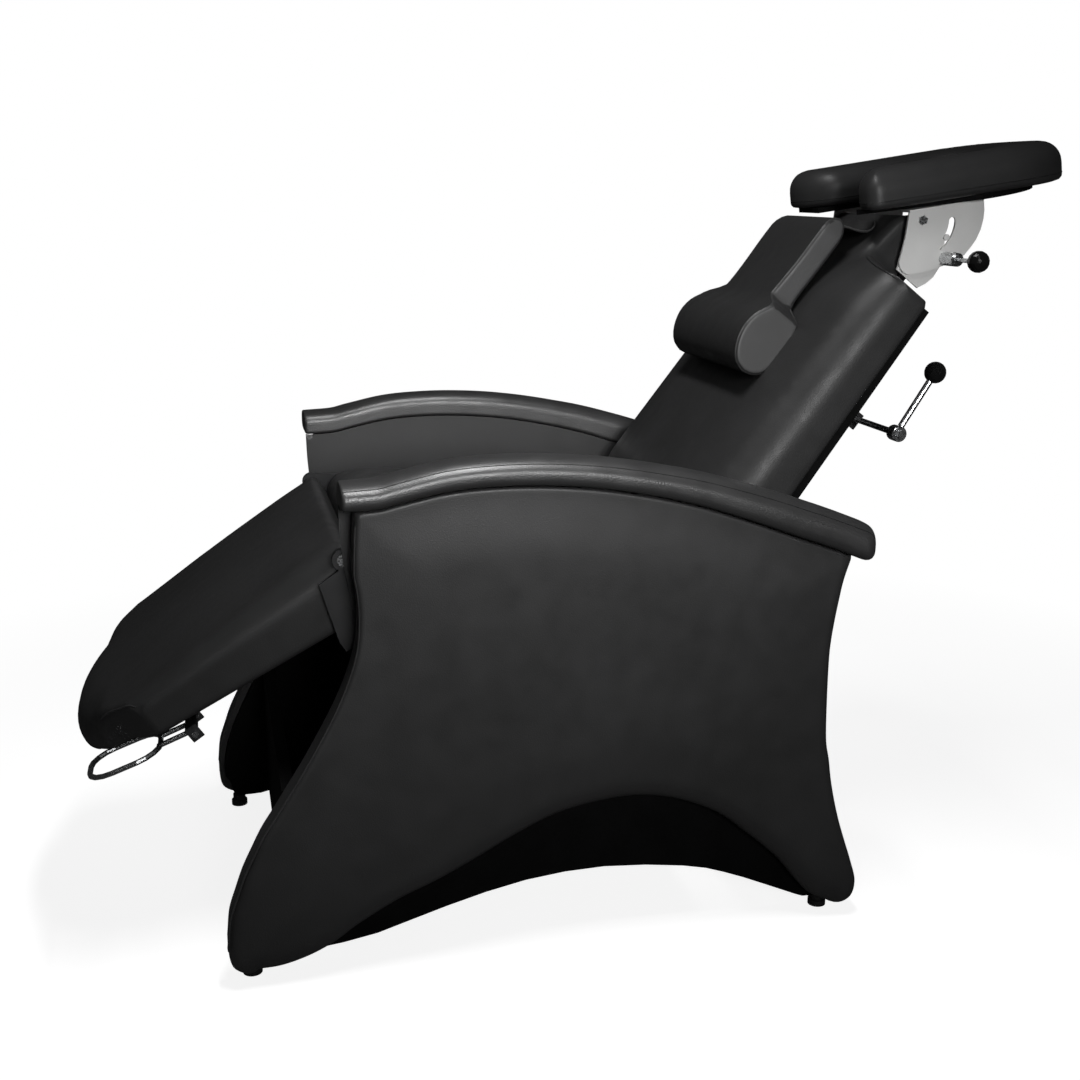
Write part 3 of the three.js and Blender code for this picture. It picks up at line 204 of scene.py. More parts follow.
def slab(name, plane, outline, top, bottom, step=0.009, lean=None, rows=5,
         insets=(0.0008, 0.002, 0.004, 0.007, 0.011, 0.016, 0.022, 0.029), crease=50):
    """A padded form over a plan: top and bottom give its heights, and lean moves the wall's foot inwards."""
    plan, tris = skin(outline, step, insets)
    n = len(outline)
    count = len(plan)
    upper = np.column_stack([plan, top(plan)])
    flat, low_tris = skin(outline, step * 1.8, insets[::2])
    under = np.column_stack([flat, bottom(flat)])
    if lean is not None:
        under[:, :2] -= lean(flat)
    vertices = [upper]
    faces = list(tris)
    walls = []
    for k in range(1, rows):
        t = k / rows
        row = upper[:n] * (1 - t) + under[:n] * t
        walls.append(count + n * (k - 1))
        vertices.append(row)
    low = count + n * (rows - 1)
    vertices.append(under)
    faces += [tuple(low + i for i in reversed(t)) for t in low_tris]
    starts = [0] + walls + [low]
    tris_up = sum(np.cross(plan[t[1]] - plan[t[0]], plan[t[2]] - plan[t[0]]) for t in tris[:200]) > 0
    for a, b in zip(starts[:-1], starts[1:]):
        for i in range(n):
            j = (i + 1) % n
            faces.append((a + i, b + i, b + j, a + j))
    if not tris_up:
        faces[:len(tris)] = [tuple(reversed(t)) for t in tris]
        base = len(tris)
        faces[base:base + len(low_tris)] = [tuple(reversed(t)) for t in faces[base:base + len(low_tris)]]
    if signed_area(outline) < 0:
        first_wall = len(tris) + len(low_tris)
        faces[first_wall:] = [tuple(reversed(f)) for f in faces[first_wall:]]
    if np.linalg.det(plane.axes) < 0:
        faces = [tuple(reversed(f)) for f in faces]
    return make_object(name, plane.place(np.vstack(vertices)), faces, crease)


def rounding(points, line, inset, drop, power=2.0):
    """How far the surface falls near one edge: inset wide, drop deep, power 2 for a quarter round."""
    d, q = nearest(points, line)
    i = inset(q) if callable(inset) else inset
    a = drop(q) if callable(drop) else drop
    p = power(q) if callable(power) else power
    t = np.clip(1 - d / i, 0, 1)
    return a * (1 - np.clip(1 - t ** p, 0, 1) ** (1 / p))


def together(*drops):
    """Several roundings as one, without a step where they meet."""
    return np.sum([np.asarray(d) ** 3 for d in drops], 0) ** (1 / 3)


def tube(name, points, radius, closed=False, sides=8, plane=None):
    """A round welt or cord along a line of points."""
    p = np.array(points, float)
    if plane is not None:
        p = plane.place(p)
    n = len(p)
    ahead = np.roll(p, -1, 0) - np.roll(p, 1, 0)
    if not closed:
        ahead[0], ahead[-1] = p[1] - p[0], p[-1] - p[-2]
    ahead /= np.linalg.norm(ahead, axis=1)[:, None]
    side = np.cross(ahead[0], (0.3, 0.5, 0.81))
    side /= np.linalg.norm(side)
    rings = []
    for i in range(n):
        side = side - np.dot(side, ahead[i]) * ahead[i]
        side /= np.linalg.norm(side)
        other = np.cross(ahead[i], side)
        r = radius if closed or 0 < i < n - 1 else radius * 0.6
        angle = np.arange(sides) * 2 * math.pi / sides
        rings.append(p[i] + r * (np.cos(angle)[:, None] * side + np.sin(angle)[:, None] * other))
    faces = []
    for i in range(n if closed else n - 1):
        a, b = i * sides, ((i + 1) % n) * sides
        for k in range(sides):
            m = (k + 1) % sides
            faces.append((a + k, a + m, b + m, b + k))
    if not closed:
        faces.append(tuple(range(sides - 1, -1, -1)))
        faces.append(tuple((n - 1) * sides + k for k in range(sides)))
    vertices = np.vstack(rings)
    return make_object(name, vertices, facing_out(vertices, faces), 60)


# Materials

def material(name, base, roughness, metallic=0.0, specular=0.5):
    m = bpy.data.materials.new(name)
    m.use_nodes = True
    tree = m.node_tree
    shader = tree.nodes["Principled BSDF"]
    shader.inputs["Base Color"].default_value = (*base, 1)
    shader.inputs["Roughness"].default_value = roughness
    shader.inputs["Metallic"].default_value = metallic
    shader.inputs["Specular IOR Level"].default_value = specular
    coord = tree.nodes.new("ShaderNodeTexCoord")
    return m, tree, shader, coord.outputs["Object"]


def noise(tree, coord, scale, detail=3.0, rough=0.5):
    n = tree.nodes.new("ShaderNodeTexNoise")
    n.inputs["Scale"].default_value = scale
    n.inputs["Detail"].default_value = detail
    n.inputs["Roughness"].default_value = rough
    tree.links.new(coord, n.inputs["Vector"])
    return n.outputs["Fac"]


def cells(tree, coord, scale, feature="F1"):
    n = tree.nodes.new("ShaderNodeTexVoronoi")
    n.feature = feature
    n.inputs["Scale"].default_value = scale
    tree.links.new(coord, n.inputs["Vector"])
    return n.outputs["Distance"]


def spread(tree, value, low, high, from_low=0.3, from_high=0.7):
    n = tree.nodes.new("ShaderNodeMapRange")
    for key, number in (("From Min", from_low), ("From Max", from_high), ("To Min", low), ("To Max", high)):
        n.inputs[key].default_value = number
    tree.links.new(value, n.inputs["Value"])
    return n.outputs["Result"]


def bump(tree, height, distance, strength=1.0, under=None):
    n = tree.nodes.new("ShaderNodeBump")
    n.inputs["Distance"].default_value = distance
    n.inputs["Strength"].default_value = strength
    tree.links.new(height, n.inputs["Height"])
    if under is not None:
        tree.links.new(under, n.inputs["Normal"])
    return n.outputs["Normal"]


def tint(tree, shader, value, dark, light):
    ramp = tree.nodes.new("ShaderNodeValToRGB")
    ramp.color_ramp.elements[0].position = 0.3
    ramp.color_ramp.elements[1].position = 0.7
    ramp.color_ramp.elements[0].color = (*dark, 1)
    ramp.color_ramp.elements[1].color = (*light, 1)
    tree.links.new(value, ramp.inputs["Fac"])
    tree.links.new(ramp.outputs["Color"], shader.inputs["Base Color"])


def vinyl(name, tone, roughness=0.44, specular=0.5, grain=0.00011, puff=0.0022, scale=520):
    """Upholstery vinyl: pebbled grain, slight unevenness of the foam below, and an uneven sheen."""
    m, tree, shader, coord = material(name, (tone,) * 3, roughness, 0, specular)
    big = noise(tree, coord, 7.0, 2.0)
    fine = noise(tree, coord, scale * 2.2, 2.0)
    pebble = cells(tree, coord, scale)
    soft = bump(tree, big, puff, 0.5)
    grainy = bump(tree, pebble, grain, 0.9, soft)
    final = bump(tree, fine, grain * 0.6, 0.6, grainy)
    tree.links.new(final, shader.inputs["Normal"])
    patch = noise(tree, coord, 3.1, 4.0, 0.6)
    tint(tree, shader, patch, (tone * 0.82,) * 3, (tone * 1.16, tone * 1.16, tone * 1.18))
    tree.links.new(spread(tree, noise(tree, coord, 26.0, 3.0), roughness - 0.05, roughness + 0.07),
                   shader.inputs["Roughness"])
    return m


def board_paint_dark_as_shade():
    # Near-black base, far darker than black paint: painted shade for the board's faces under the arches and
    # below the cushions
    m, tree, shader, coord = material("black_board_paint_painted_shade", (0.002, 0.002, 0.002), 0.75, 0, 0.12)
    grain = noise(tree, coord, 160.0, 4.0, 0.6)
    tint(tree, shader, noise(tree, coord, 20.0), (0.0015, 0.0015, 0.0015), (0.003, 0.003, 0.0032))
    tree.links.new(bump(tree, grain, 0.0002, 0.6), shader.inputs["Normal"])
    tree.links.new(spread(tree, grain, 0.68, 0.85), shader.inputs["Roughness"])
    return m


def steel(name, tone, roughness, spangle=0.0):
    m, tree, shader, coord = material(name, tone, roughness, 1.0)
    n = noise(tree, coord, 90.0, 4.0, 0.55)
    tint(tree, shader, n, tuple(c * (0.86 - spangle) for c in tone), tuple(min(1, c * 1.08) for c in tone))
    tree.links.new(spread(tree, noise(tree, coord, 420.0, 2.0), roughness * 0.75, roughness * 1.35),
                   shader.inputs["Roughness"])
    tree.links.new(bump(tree, noise(tree, coord, 700.0, 2.0), 0.00004, 0.6), shader.inputs["Normal"])
    return m


def powder(name, tone, roughness):
    m, tree, shader, coord = material(name, tone, roughness, 0, 0.5)
    peel = noise(tree, coord, 620.0, 2.0)
    tint(tree, shader, noise(tree, coord, 14.0, 4.0), tuple(c * 0.94 for c in tone),
         tuple(min(1, c * 1.04) for c in tone))
    tree.links.new(bump(tree, peel, 0.00012, 0.5), shader.inputs["Normal"])
    tree.links.new(spread(tree, noise(tree, coord, 60.0, 3.0), roughness - 0.05, roughness + 0.07),
                   shader.inputs["Roughness"])
    return m


def plastic(name, tone, roughness, bumpiness):
    m, tree, shader, coord = material(name, tone, roughness, 0, 0.5)
    tint(tree, shader, noise(tree, coord, 60.0), tuple(c * 0.85 for c in tone), tuple(c * 1.15 for c in tone))
    tree.links.new(bump(tree, noise(tree, coord, 900.0, 2.0), bumpiness, 0.5), shader.inputs["Normal"])
    tree.links.new(spread(tree, noise(tree, coord, 130.0, 3.0), roughness * 0.8, roughness * 1.3),
                   shader.inputs["Roughness"])
    return m


VINYL = vinyl("black_vinyl_cover", 0.028)
VINYL_CAP = vinyl("black_vinyl_cap", 0.030, roughness=0.38, specular=0.95, grain=0.0002, scale=430)
VINYL_TOP = vinyl("black_vinyl_cushion", 0.026, roughness=0.44, specular=0.3)
# A lighter copy of the cover vinyl: painted light for the pillow's end faces, which face the key lamp
VINYL_END_PAINTED_LIGHT = vinyl("black_vinyl_end_panel_painted_light", 0.062, roughness=0.46, specular=0.4)
SEAM = vinyl("black_vinyl_seam", 0.012, roughness=0.5, specular=0.3, puff=0.0004)
# The piping is real cord; its lighter tone than the cover is a painted highlight for the light lines along
# welts, seams and hems
WELT_PAINTED_HIGHLIGHT = vinyl("black_vinyl_welt_painted_highlight", 0.04, roughness=0.38, puff=0.0004)
looks = {
    # the board's near-black colour is painted shade
    "black_board": board_paint_dark_as_shade(),
    "black_steel": powder("black_powder_coat", (0.018, 0.018, 0.019), 0.45),
    "white_steel": powder("grey_white_powder_coat", (0.66, 0.66, 0.65), 0.42),
    "bright_steel": steel("bright_zinc_plate", (0.60, 0.61, 0.62), 0.26),
    "knob_plastic": plastic("glossy_black_phenolic", (0.006, 0.006, 0.006), 0.12, 0.00001),
    "foot_plastic": plastic("matt_black_nylon", (0.018, 0.018, 0.018), 0.55, 0.00006),
    "black_vinyl": VINYL,
}
for part in frame["record"]["subparts"]:
    cad = nodes[part["node"]]
    for slot in cad.material_slots:
        slot.material = looks[part["material_slot"]]


def dress(obj, look, body):
    obj.data.materials.append(look)
    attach(obj, body)
    return obj


# The two sides: plans in millimetres, lengthways from SHIFT and upwards from the floor

mm = 0.001
FRONT_EDGE = [(-139, 681), (-143, 602), (-140, 573), (-138, 544), (-139, 515), (-143, 486), (-154, 450),
              (-172, 408), (-195, 365), (-222, 319), (-261, 258), (-280, 229), (-295, 200), (-309, 171),
              (-320, 141), (-330, 111), (-334, 80), (-335, 62), (-330, 34), (-311, 21), (-293, 21)]
ARCH = [(-293, 21), (-265, 22), (-237, 28), (-209, 38), (-180, 53), (-151, 73), (-93, 105), (-35, 129),
        (24, 158), (83, 189), (142, 214), (202, 226), (262, 229), (324, 217), (387, 189), (436, 150),
        (487, 104), (521, 62), (545, 36), (570, 23)]
REAR_EDGE = [(570, 23), (593, 22), (610, 33), (615, 58), (605, 94), (593, 129), (582, 163), (573, 197),
             (566, 230), (561, 263), (555, 296), (553, 360), (553, 422), (555, 453), (559, 483), (564, 513),
             (570, 543), (581, 578)]
LINING_FRONT = [(-156, 682), (-155, 640), (-152, 602), (-147, 573), (-142, 544), (-139, 515), (-139, 486)]
LINING_REAR = [(552, 486), (558, 513), (565, 543), (577, 576)]
CAP_BASE = [(-152, 681), (-108, 683), (-81, 689), (-14, 702), (54, 706), (122, 704), (192, 697), (264, 684),
            (337, 666), (412, 641), (489, 612), (551, 589), (622, 560)]
base_line = smooth_line(np.array(CAP_BASE) * mm, 0.004)


def cap_base(y):
    return np.interp(y, base_line[:, 0], base_line[:, 1])


def side_panel(sign, name):
    """The padded outer panel, and the line of its front edge."""
    step = 0.006
    front = smooth_line(np.array(FRONT_EDGE) * mm, step)
    arch = smooth_line(np.array(ARCH) * mm, step)
    rear = smooth_line(np.array(REAR_EDGE) * mm, step)
    start, end = front[0], rear[-1]
    ys = np.linspace(end[0], start[0], 120)[1:-1]
    top_line = np.column_stack([ys, cap_base(ys) - 0.0004])
    outline = np.vstack([front[:-1], arch[:-1], rear, top_line])
    top_edge = np.vstack([rear[-1:], top_line, front[:1]])

    def front_in(q):
        return 0.006 + 0.012 * step_up(0.30 - q[:, 1], 0, 0.20)

    def top(p):
        puff = 0.0045 * step_up(nearest(p, np.vstack([outline, outline[:1]]))[0], 0.0, 0.10)
        drop = together(rounding(p, front, front_in, front_in),
                        rounding(p, arch, 0.034, 0.030),
                        rounding(p, rear, 0.015, 0.014), rounding(p, top_edge, 0.004, 0.003))
        return SIDE_OUTER + puff - drop

    def bottom(p):
        return np.full(len(p), SIDE_BOARD + 0.0004)

    panel = slab(name, side_plane(sign), outline, top, bottom, step=0.010, rows=4,
                 insets=(0.001, 0.0025, 0.005, 0.0085, 0.013, 0.018, 0.024, 0.031, 0.039))
    return panel, front


CAP_FRONT, CAP_REAR = -0.157, 0.612
CAP_FRONT_EDGE, CAP_REAR_EDGE = 0.005, 0.016          # how far the ends are rounded
CAP_HEIGHT = ((-0.152, 0.05, 0.20, 0.30, 0.40, 0.48, 0.62),
              (0.037, 0.0385, 0.041, 0.044, 0.050, 0.055, 0.056))


# how square each quarter of the cap's section is: 2 is round
CAP_POWERS = {(True, True): 2.25, (True, False): 3.2, (False, True): 2.9, (False, False): 14}
CROWN_SHARE = 0.56


def cap_section(width, height, count=72):
    """The cap's section: a crown above, softly rounded sides and a flat seat below."""
    upper, lower = height * CROWN_SHARE, height * (1 - CROWN_SHARE)
    points = []
    for i in range(count):
        a = 2 * math.pi * i / count
        c, s = math.cos(a), math.sin(a)
        power = CAP_POWERS[(c >= 0, s >= 0)]
        r = (abs(c) ** power + abs(s) ** power) ** (-1 / power)
        points.append((width * r * c, (upper if s >= 0 else lower) * r * s + lower))
    return np.array(points)


def arm_cap(sign, name):
    """The padded cap, section by section along its base line, and the run of its seam."""
    length = CAP_REAR - CAP_FRONT
    stations = np.concatenate([[0, 0.0006, 0.0016, 0.003, 0.005], np.arange(0.010, length - 0.016, 0.0065),
                               length - np.array([0.016, 0.012, 0.008, 0.0045, 0.002, 0.0006, 0])])
    middle = (CAP_INNER + CAP_OUTER) / 2
    half = (CAP_OUTER - CAP_INNER) / 2
    rings = []
    for along in stations:
        y = CAP_FRONT + along
        height = np.interp(y, *CAP_HEIGHT)
        inset = 0.0
        for from_end, edge in ((along, CAP_FRONT_EDGE), (CAP_REAR - y, CAP_REAR_EDGE)):
            if from_end < edge:
                inset = edge - math.sqrt(max(0, edge ** 2 - (edge - from_end) ** 2))
        section = cap_section(half - inset * 0.75, height - inset * 1.1)
        z = cap_base(np.array([y]))[0]
        ring = np.column_stack([np.full(len(section), y), z + inset * 0.9 + section[:, 1],
                                middle + section[:, 0]])
        rings.append(ring)
    count = len(rings[0])
    vertices = np.vstack(rings + [rings[0].mean(0)[None], rings[-1].mean(0)[None]])
    faces = []
    for i in range(len(rings) - 1):
        for k in range(count):
            m = (k + 1) % count
            faces.append((i * count + k, i * count + m, (i + 1) * count + m, (i + 1) * count + k))
    head, tail = len(vertices) - 2, len(vertices) - 1
    for k in range(count):
        m = (k + 1) % count
        faces.append((head, m, k))
        last = (len(rings) - 1) * count
        faces.append((tail, last + k, last + m))
    placed = side_plane(sign).place(vertices)
    obj = make_object(name, placed, facing_out(placed, faces), 50)
    seam = []
    seam_x = middle + 0.80 * half
    for ring in rings[2:-3]:
        k = np.argmin(np.abs(ring[:count // 2, 2] - seam_x))
        a, b = ring[k], ring[k + 1 if ring[k, 2] > seam_x else k - 1]
        t = (seam_x - a[2]) / (b[2] - a[2] + 1e-12)
        seam.append(a + (b - a) * np.clip(t, 0, 1))
    return obj, side_plane(sign).place(np.array(seam))


def inner_lining(sign, name):
    """The cap's cover carried down the board's inner face to below the cushions."""
    front = smooth_line(np.array(LINING_FRONT) * mm, 0.006)
    rear = smooth_line(np.array(LINING_REAR) * mm, 0.006)
    ys = np.linspace(rear[-1, 0], front[0, 0], 120)[1:-1]
    top_line = np.column_stack([ys, cap_base(ys) - 0.0004])
    low = smooth_line([front[-1], rear[0]], 0.008)
    outline = np.vstack([front[:-1], low[:-1], rear, top_line])
    edges = np.vstack([top_line[-1:], front, low, rear])

    def board_side(p):
        return np.full(len(p), SIDE_INNER - 0.0002)

    def room_side(p):
        return CAP_INNER + 0.0001 + rounding(p, edges, 0.0025, 0.0022)

    return slab(name, side_plane(sign), outline, board_side, room_side, step=0.014, rows=2,
                insets=(0.001, 0.0025, 0.006))


for sign, hand in ((1, "left"), (-1, "right")):
    dress(inner_lining(sign, f"inner_lining_{hand}"), VINYL, "chair_frame")
    panel, front_line = side_panel(sign, f"upholstered_panel_{hand}")
    dress(panel, VINYL, "chair_frame")
    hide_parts(f"side_panel_{hand}")
    cap, cap_seam = arm_cap(sign, f"upholstered_cap_{hand}")
    dress(cap, VINYL_CAP, "chair_frame")
    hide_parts(f"arm_cap_{hand}")
    dress(tube(f"cap_seam_{hand}", cap_seam, 0.0006), SEAM, "chair_frame")
    keep = front_line[(front_line[:, 1] < 0.668) & (front_line[:, 1] > 0.06)]
    welt = np.column_stack([keep[:, 0] + 0.0008, keep[:, 1], np.full(len(keep), SIDE_OUTER - 0.0045)])
    dress(tube(f"panel_front_welt_{hand}", welt, 0.0016, plane=side_plane(sign)), WELT_PAINTED_HIGHLIGHT, "chair_frame")

# Seat: (lengthways, height) along its middle

SEAT_TOP = [(-0.128, 0.600), (-0.122, 0.612), (-0.105, 0.618), (-0.07, 0.626), (0.0, 0.622), (0.10, 0.607),
            (0.20, 0.590), (0.28, 0.580), (0.32, 0.577), (0.342, 0.576)]


def rectangle(half, low, high, corner, step=0.008):
    """A rounded plan between low and high, walked anticlockwise."""
    arcs = []
    for cx, cy, a0 in ((half - corner, low + corner, -90), (half - corner, high - corner, 0),
                       (corner - half, high - corner, 90), (corner - half, low + corner, 180)):
        a = np.radians(np.linspace(a0, a0 + 90, max(4, round(corner * 1.6 / step))))
        arcs.append(np.column_stack([cx + corner * np.cos(a), cy + corner * np.sin(a)]))
    loop = np.vstack(arcs + [arcs[0][:1]])
    return even(loop, step)[:-1]


def seat_cushion():
    outline = rectangle(HALF, -0.128, 0.342, 0.022)
    edge = np.vstack([outline, outline[:1]])
    line = smooth_line(SEAT_TOP, 0.004)

    def top(p):
        z = np.interp(p[:, 1], line[:, 0], line[:, 1]) + 0.008 * (1 - (p[:, 0] / HALF) ** 2)
        return z - rounding(p, edge, 0.030, 0.030)

    def bottom(p):
        return 0.5052 + rounding(p, edge, 0.008, 0.008)

    return slab("upholstered_seat", SEAT, outline, top, bottom)


seat = dress(seat_cushion(), VINYL_TOP, "chair_frame")
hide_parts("seat_cushion")

# Back: plans and heights along it from the hinge

NECK = 0.117                          # half width of the neck
BACK_TOP = ((0.50, 0.560, 0.576, 0.611, 0.6304, 0.642), (0.030, 0.0262, 0.0234, 0.0188, 0.0120, 0.0))


def shoulder_line(x):
    """Where the shoulder ends along the back, rising towards the neck."""
    return 0.515 + 0.031 * np.clip((HALF - x) / (HALF - 0.125), 0, 1) ** 1.6


def back_cushion():
    step = 0.007
    side = smooth_line([(HALF, 0.012), (HALF, 0.2), (HALF, 0.4), (HALF, 0.507)], step)
    xs = np.linspace(HALF - 0.004, NECK + 0.018, 22)
    shoulder = np.column_stack([xs, shoulder_line(xs)])
    shoulder = smooth_line(np.vstack([[(HALF, 0.507)], shoulder[::3]]), step)
    low_s = shoulder[-1][1]
    corner = smooth_line([shoulder[-1], (NECK + 0.008, low_s + 0.004), (NECK + 0.001, low_s + 0.014)], 0.004)
    neck = smooth_line([corner[-1], (NECK, 0.575), (NECK - 0.0005, 0.605), (NECK - 0.001, 0.628)], step)
    crown_corner = smooth_line([neck[-1], (NECK - 0.004, 0.636), (NECK - 0.012, 0.640)], 0.004)
    head = smooth_line([crown_corner[-1], (-crown_corner[-1][0], crown_corner[-1][1])], step)
    foot_left = smooth_line([(-HALF, 0.012), (-HALF + 0.012, 0.0)], 0.004)
    low = smooth_line([(-HALF + 0.012, 0.0), (HALF - 0.012, 0.0)], step)
    foot_right = smooth_line([(HALF - 0.012, 0.0), (HALF, 0.012)], 0.004)
    right = [side, shoulder, corner, neck, crown_corner]
    loop = [s[:-1] for s in right] + [head[:-1]] + [mirrored(s)[:-1] for s in reversed(right)]
    loop += [foot_left[:-1], low[:-1], foot_right[:-1]]
    outline = np.vstack(loop)

    def bend(p):
        r = []
        for line, inset, drop in ((side, 0.038, 0.037), (shoulder, 0.0075, 0.007),
                                  (np.vstack([corner, neck[1:]]), 0.014, 0.013)):
            r += [rounding(p, line, inset, drop), rounding(p, mirrored(line), inset, drop)]
        r += [rounding(p, head, 0.020, 0.016), rounding(p, low, 0.03, 0.03)]
        return together(*r)

    def top(p):
        x, s = p[:, 0], p[:, 1]
        fade = step_up(s, 0, 0.09) * (1 - step_up(s, 0.44, 0.57))
        width = HALF * (1 - step_up(s, 0.50, 0.56)) + NECK * step_up(s, 0.50, 0.56)
        share = np.clip(np.abs(x) / HALF, 0, 1)
        crown = 0.025 * fade * (1 - share ** 6)
        crown += 0.0012 * (1 - fade) * np.clip(1 - (x / width) ** 2, 0, 1)
        return np.interp(s, *BACK_TOP) + crown - bend(p)

    def bottom(p):
        rear = -0.0622 + 0.042 * p[:, 1] - 0.0025 * step_up(p[:, 1], 0.25, 0.50)
        edge = np.vstack([outline, outline[:1]])
        return rear + rounding(p, edge, 0.006, 0.006)

    obj = slab("upholstered_back", BACK, outline, top, bottom)
    end = shoulder[1:-2]
    z = top(np.column_stack([end[:, 0], end[:, 1] - 0.0045]))
    seam = np.column_stack([end[:, 0], end[:, 1] - 0.0035, z + 0.0001])
    return obj, seam


back, shoulder_seam = back_cushion()
dress(back, VINYL_TOP, "back")
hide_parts("back_cushion")
for hand, line in (("left", shoulder_seam), ("right", shoulder_seam * (-1, 1, 1))):
    dress(tube(f"shoulder_seam_{hand}", line, 0.0009, plane=BACK), SEAM, "back")

# Legrest: (along from the hinge, height)

LEG_TOP = [(-0.011, 0.011), (0.0, 0.015), (0.024, 0.0165), (0.07, 0.018), (0.142, 0.018), (0.216, 0.017),
           (0.292, 0.0145), (0.359, 0.013), (0.40, 0.013), (0.52, 0.0125)]


LEG_SIDE, LEG_BOW = 0.350, 0.140      # length at the corners, and how much further the middle reaches


def leg_end(x):
    return LEG_SIDE + LEG_BOW * (1 - np.clip(np.abs(x) / HALF, 0, 1) ** 2.6)


def leg_under(s):
    """The underside, which tapers towards the end."""
    return -0.0909 + 0.1145 * s - 0.009 * step_up(s, 0.39, 0.45)


def legrest_cushion():
    step = 0.007
    xs = np.concatenate([np.linspace(-HALF, -0.235, 14), np.linspace(-0.235, 0.235, 70)[1:-1],
                         np.linspace(0.235, HALF, 14)])
    end = even(np.column_stack([xs, leg_end(xs)]), step)[::-1]
    side = smooth_line([(HALF, -0.011), (HALF, 0.2), (HALF, LEG_SIDE)], step)
    low = smooth_line([(-HALF, -0.011), (HALF, -0.011)], step)
    outline = np.vstack([side[:-1], end[:-1], mirrored(side)[:-1], low[:-1]])
    line = smooth_line(LEG_TOP, 0.004)

    def middle(q):
        """1 across the end's middle, where the padding rolls over it, and 0 at the corners."""
        return 1 - step_up(np.abs(q[:, 0]), 0.150, 0.235)

    def end_in(q):
        return 0.012 + 0.062 * middle(q)

    def end_drop(q):
        return 0.014 + (0.020 - leg_under(q[:, 1]) - 0.022) * middle(q)

    def side_in(q):
        return 0.040 - 0.016 * step_up(q[:, 1], 0.05, 0.34)

    def top(p):
        base = np.interp(p[:, 1], line[:, 0], line[:, 1]) + 0.003 * (1 - (p[:, 0] / HALF) ** 2)
        drop = together(rounding(p, end, end_in, end_drop, 2.05), rounding(p, side, side_in, side_in),
                        rounding(p, mirrored(side), side_in, side_in), rounding(p, low, 0.010, 0.010))
        return base - drop

    def bottom(p):
        edge = np.vstack([outline, outline[:1]])
        t = np.clip((0.034 - p[:, 1]) / 0.046, 0, 1)
        roll = (0.002 - leg_under(p[:, 1])) * (1 - np.sqrt(1 - t ** 2))
        return leg_under(p[:, 1]) + np.maximum(roll, rounding(p, edge, 0.007, 0.007))

    tuck = ([0.0, 0.188, 0.196, 0.207, 0.224, 0.246, 0.264], [0, 0, 0.010, 0.014, 0.009, 0.003, 0])

    def lean(p):
        ahead = step_up(p[:, 1], leg_end(p[:, 0]) - 0.12, leg_end(p[:, 0]))
        return np.column_stack([0 * p[:, 0], np.interp(np.abs(p[:, 0]), *tuck) * ahead])

    obj = slab("upholstered_legrest", LEG, outline, top, bottom, lean=lean, rows=8)
    crease = end[(end[:, 0] > 0.20) & (end[:, 0] < HALF - 0.002)]
    inner = crease - np.array([0.0, 0.006])
    return obj, np.column_stack([inner, top(inner) + 0.0002])


leg, leg_crease = legrest_cushion()
dress(leg, VINYL_TOP, "legrest")
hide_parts("legrest_cushion")
for hand, line in (("left", leg_crease), ("right", leg_crease * (-1, 1, 1))):
    dress(tube(f"legrest_corner_seam_{hand}", line, 0.0012, plane=LEG), WELT_PAINTED_HIGHLIGHT, "legrest")

# Neck pillow and its flap: (along the back, height above its line)

PILLOW_UP = [(0.282, 0.083), (0.287, 0.100), (0.300, 0.113), (0.319, 0.122), (0.340, 0.1255), (0.362, 0.122),
             (0.383, 0.1115), (0.400, 0.105), (0.425, 0.1025), (0.47, 0.1015), (0.52, 0.102), (0.546, 0.1005),
             (0.561, 0.093), (0.568, 0.081)]
PILLOW_DOWN = [(0.568, 0.081), (0.563, 0.071), (0.552, 0.0655), (0.53, 0.064), (0.47, 0.0635),
               (0.42, 0.062), (0.395, 0.056), (0.372, 0.0485), (0.345, 0.0465), (0.318, 0.0475),
               (0.298, 0.054), (0.286, 0.067), (0.282, 0.083)]


def neck_pillow():
    step = 0.0045
    up = smooth_line(PILLOW_UP, step)
    down = smooth_line(PILLOW_DOWN, step)
    outline = np.vstack([up[:-1], down[:-1]])
    edge = np.vstack([outline, outline[:1]])

    def half_width(s):
        w = 0.147 - 0.050 * step_up(s, 0.386, 0.412) + 0.004 * step_up(s, 0.42, 0.50)
        return w - 0.010 * step_up(s, 0.535, 0.566)

    def face(p):
        return half_width(p[:, 0]) + 0.0025 - rounding(p, edge, 0.006, 0.006)

    def bottom(p):
        return -face(p)

    obj = slab("upholstered_neck_pillow", BACK_PROFILE, outline, face, bottom, step=0.0055, rows=44,
               insets=(0.0008, 0.002, 0.0036, 0.0055, 0.008), crease=55)
    ring = outline[::2]
    tangent = np.roll(ring, -1, 0) - np.roll(ring, 1, 0)
    tangent /= np.linalg.norm(tangent, axis=1)[:, None]
    inward = np.column_stack([tangent[:, 1], -tangent[:, 0]])
    if not within((ring + inward * 0.003)[:1], outline)[0]:
        inward = -inward
    line = ring + inward * 0.0014
    return obj, [np.column_stack([line, sign * (half_width(line[:, 0]) - 0.0014)]) for sign in (1, -1)]


pillow, pillow_welts = neck_pillow()
dress(pillow, VINYL_TOP, "back")
pillow.data.materials.append(VINYL_END_PAINTED_LIGHT)
# faces that point sideways get the lighter copy: painted light on the pillow's ends
for face in pillow.data.polygons:
    if abs(face.normal.x) > 0.86:
        face.material_index = 1
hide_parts("neck_pillow")
for hand, line in zip(("left", "right"), pillow_welts):
    dress(tube(f"pillow_end_welt_{hand}", line, 0.0016, closed=True, plane=BACK_PROFILE), WELT_PAINTED_HIGHLIGHT, "back")

FLAP = [(0.548, 0.088), (0.556, 0.080), (0.565, 0.0620), (0.573, 0.043), (0.581, 0.0310), (0.590, 0.0262),
        (0.599, 0.0242), (0.608, 0.0230)]


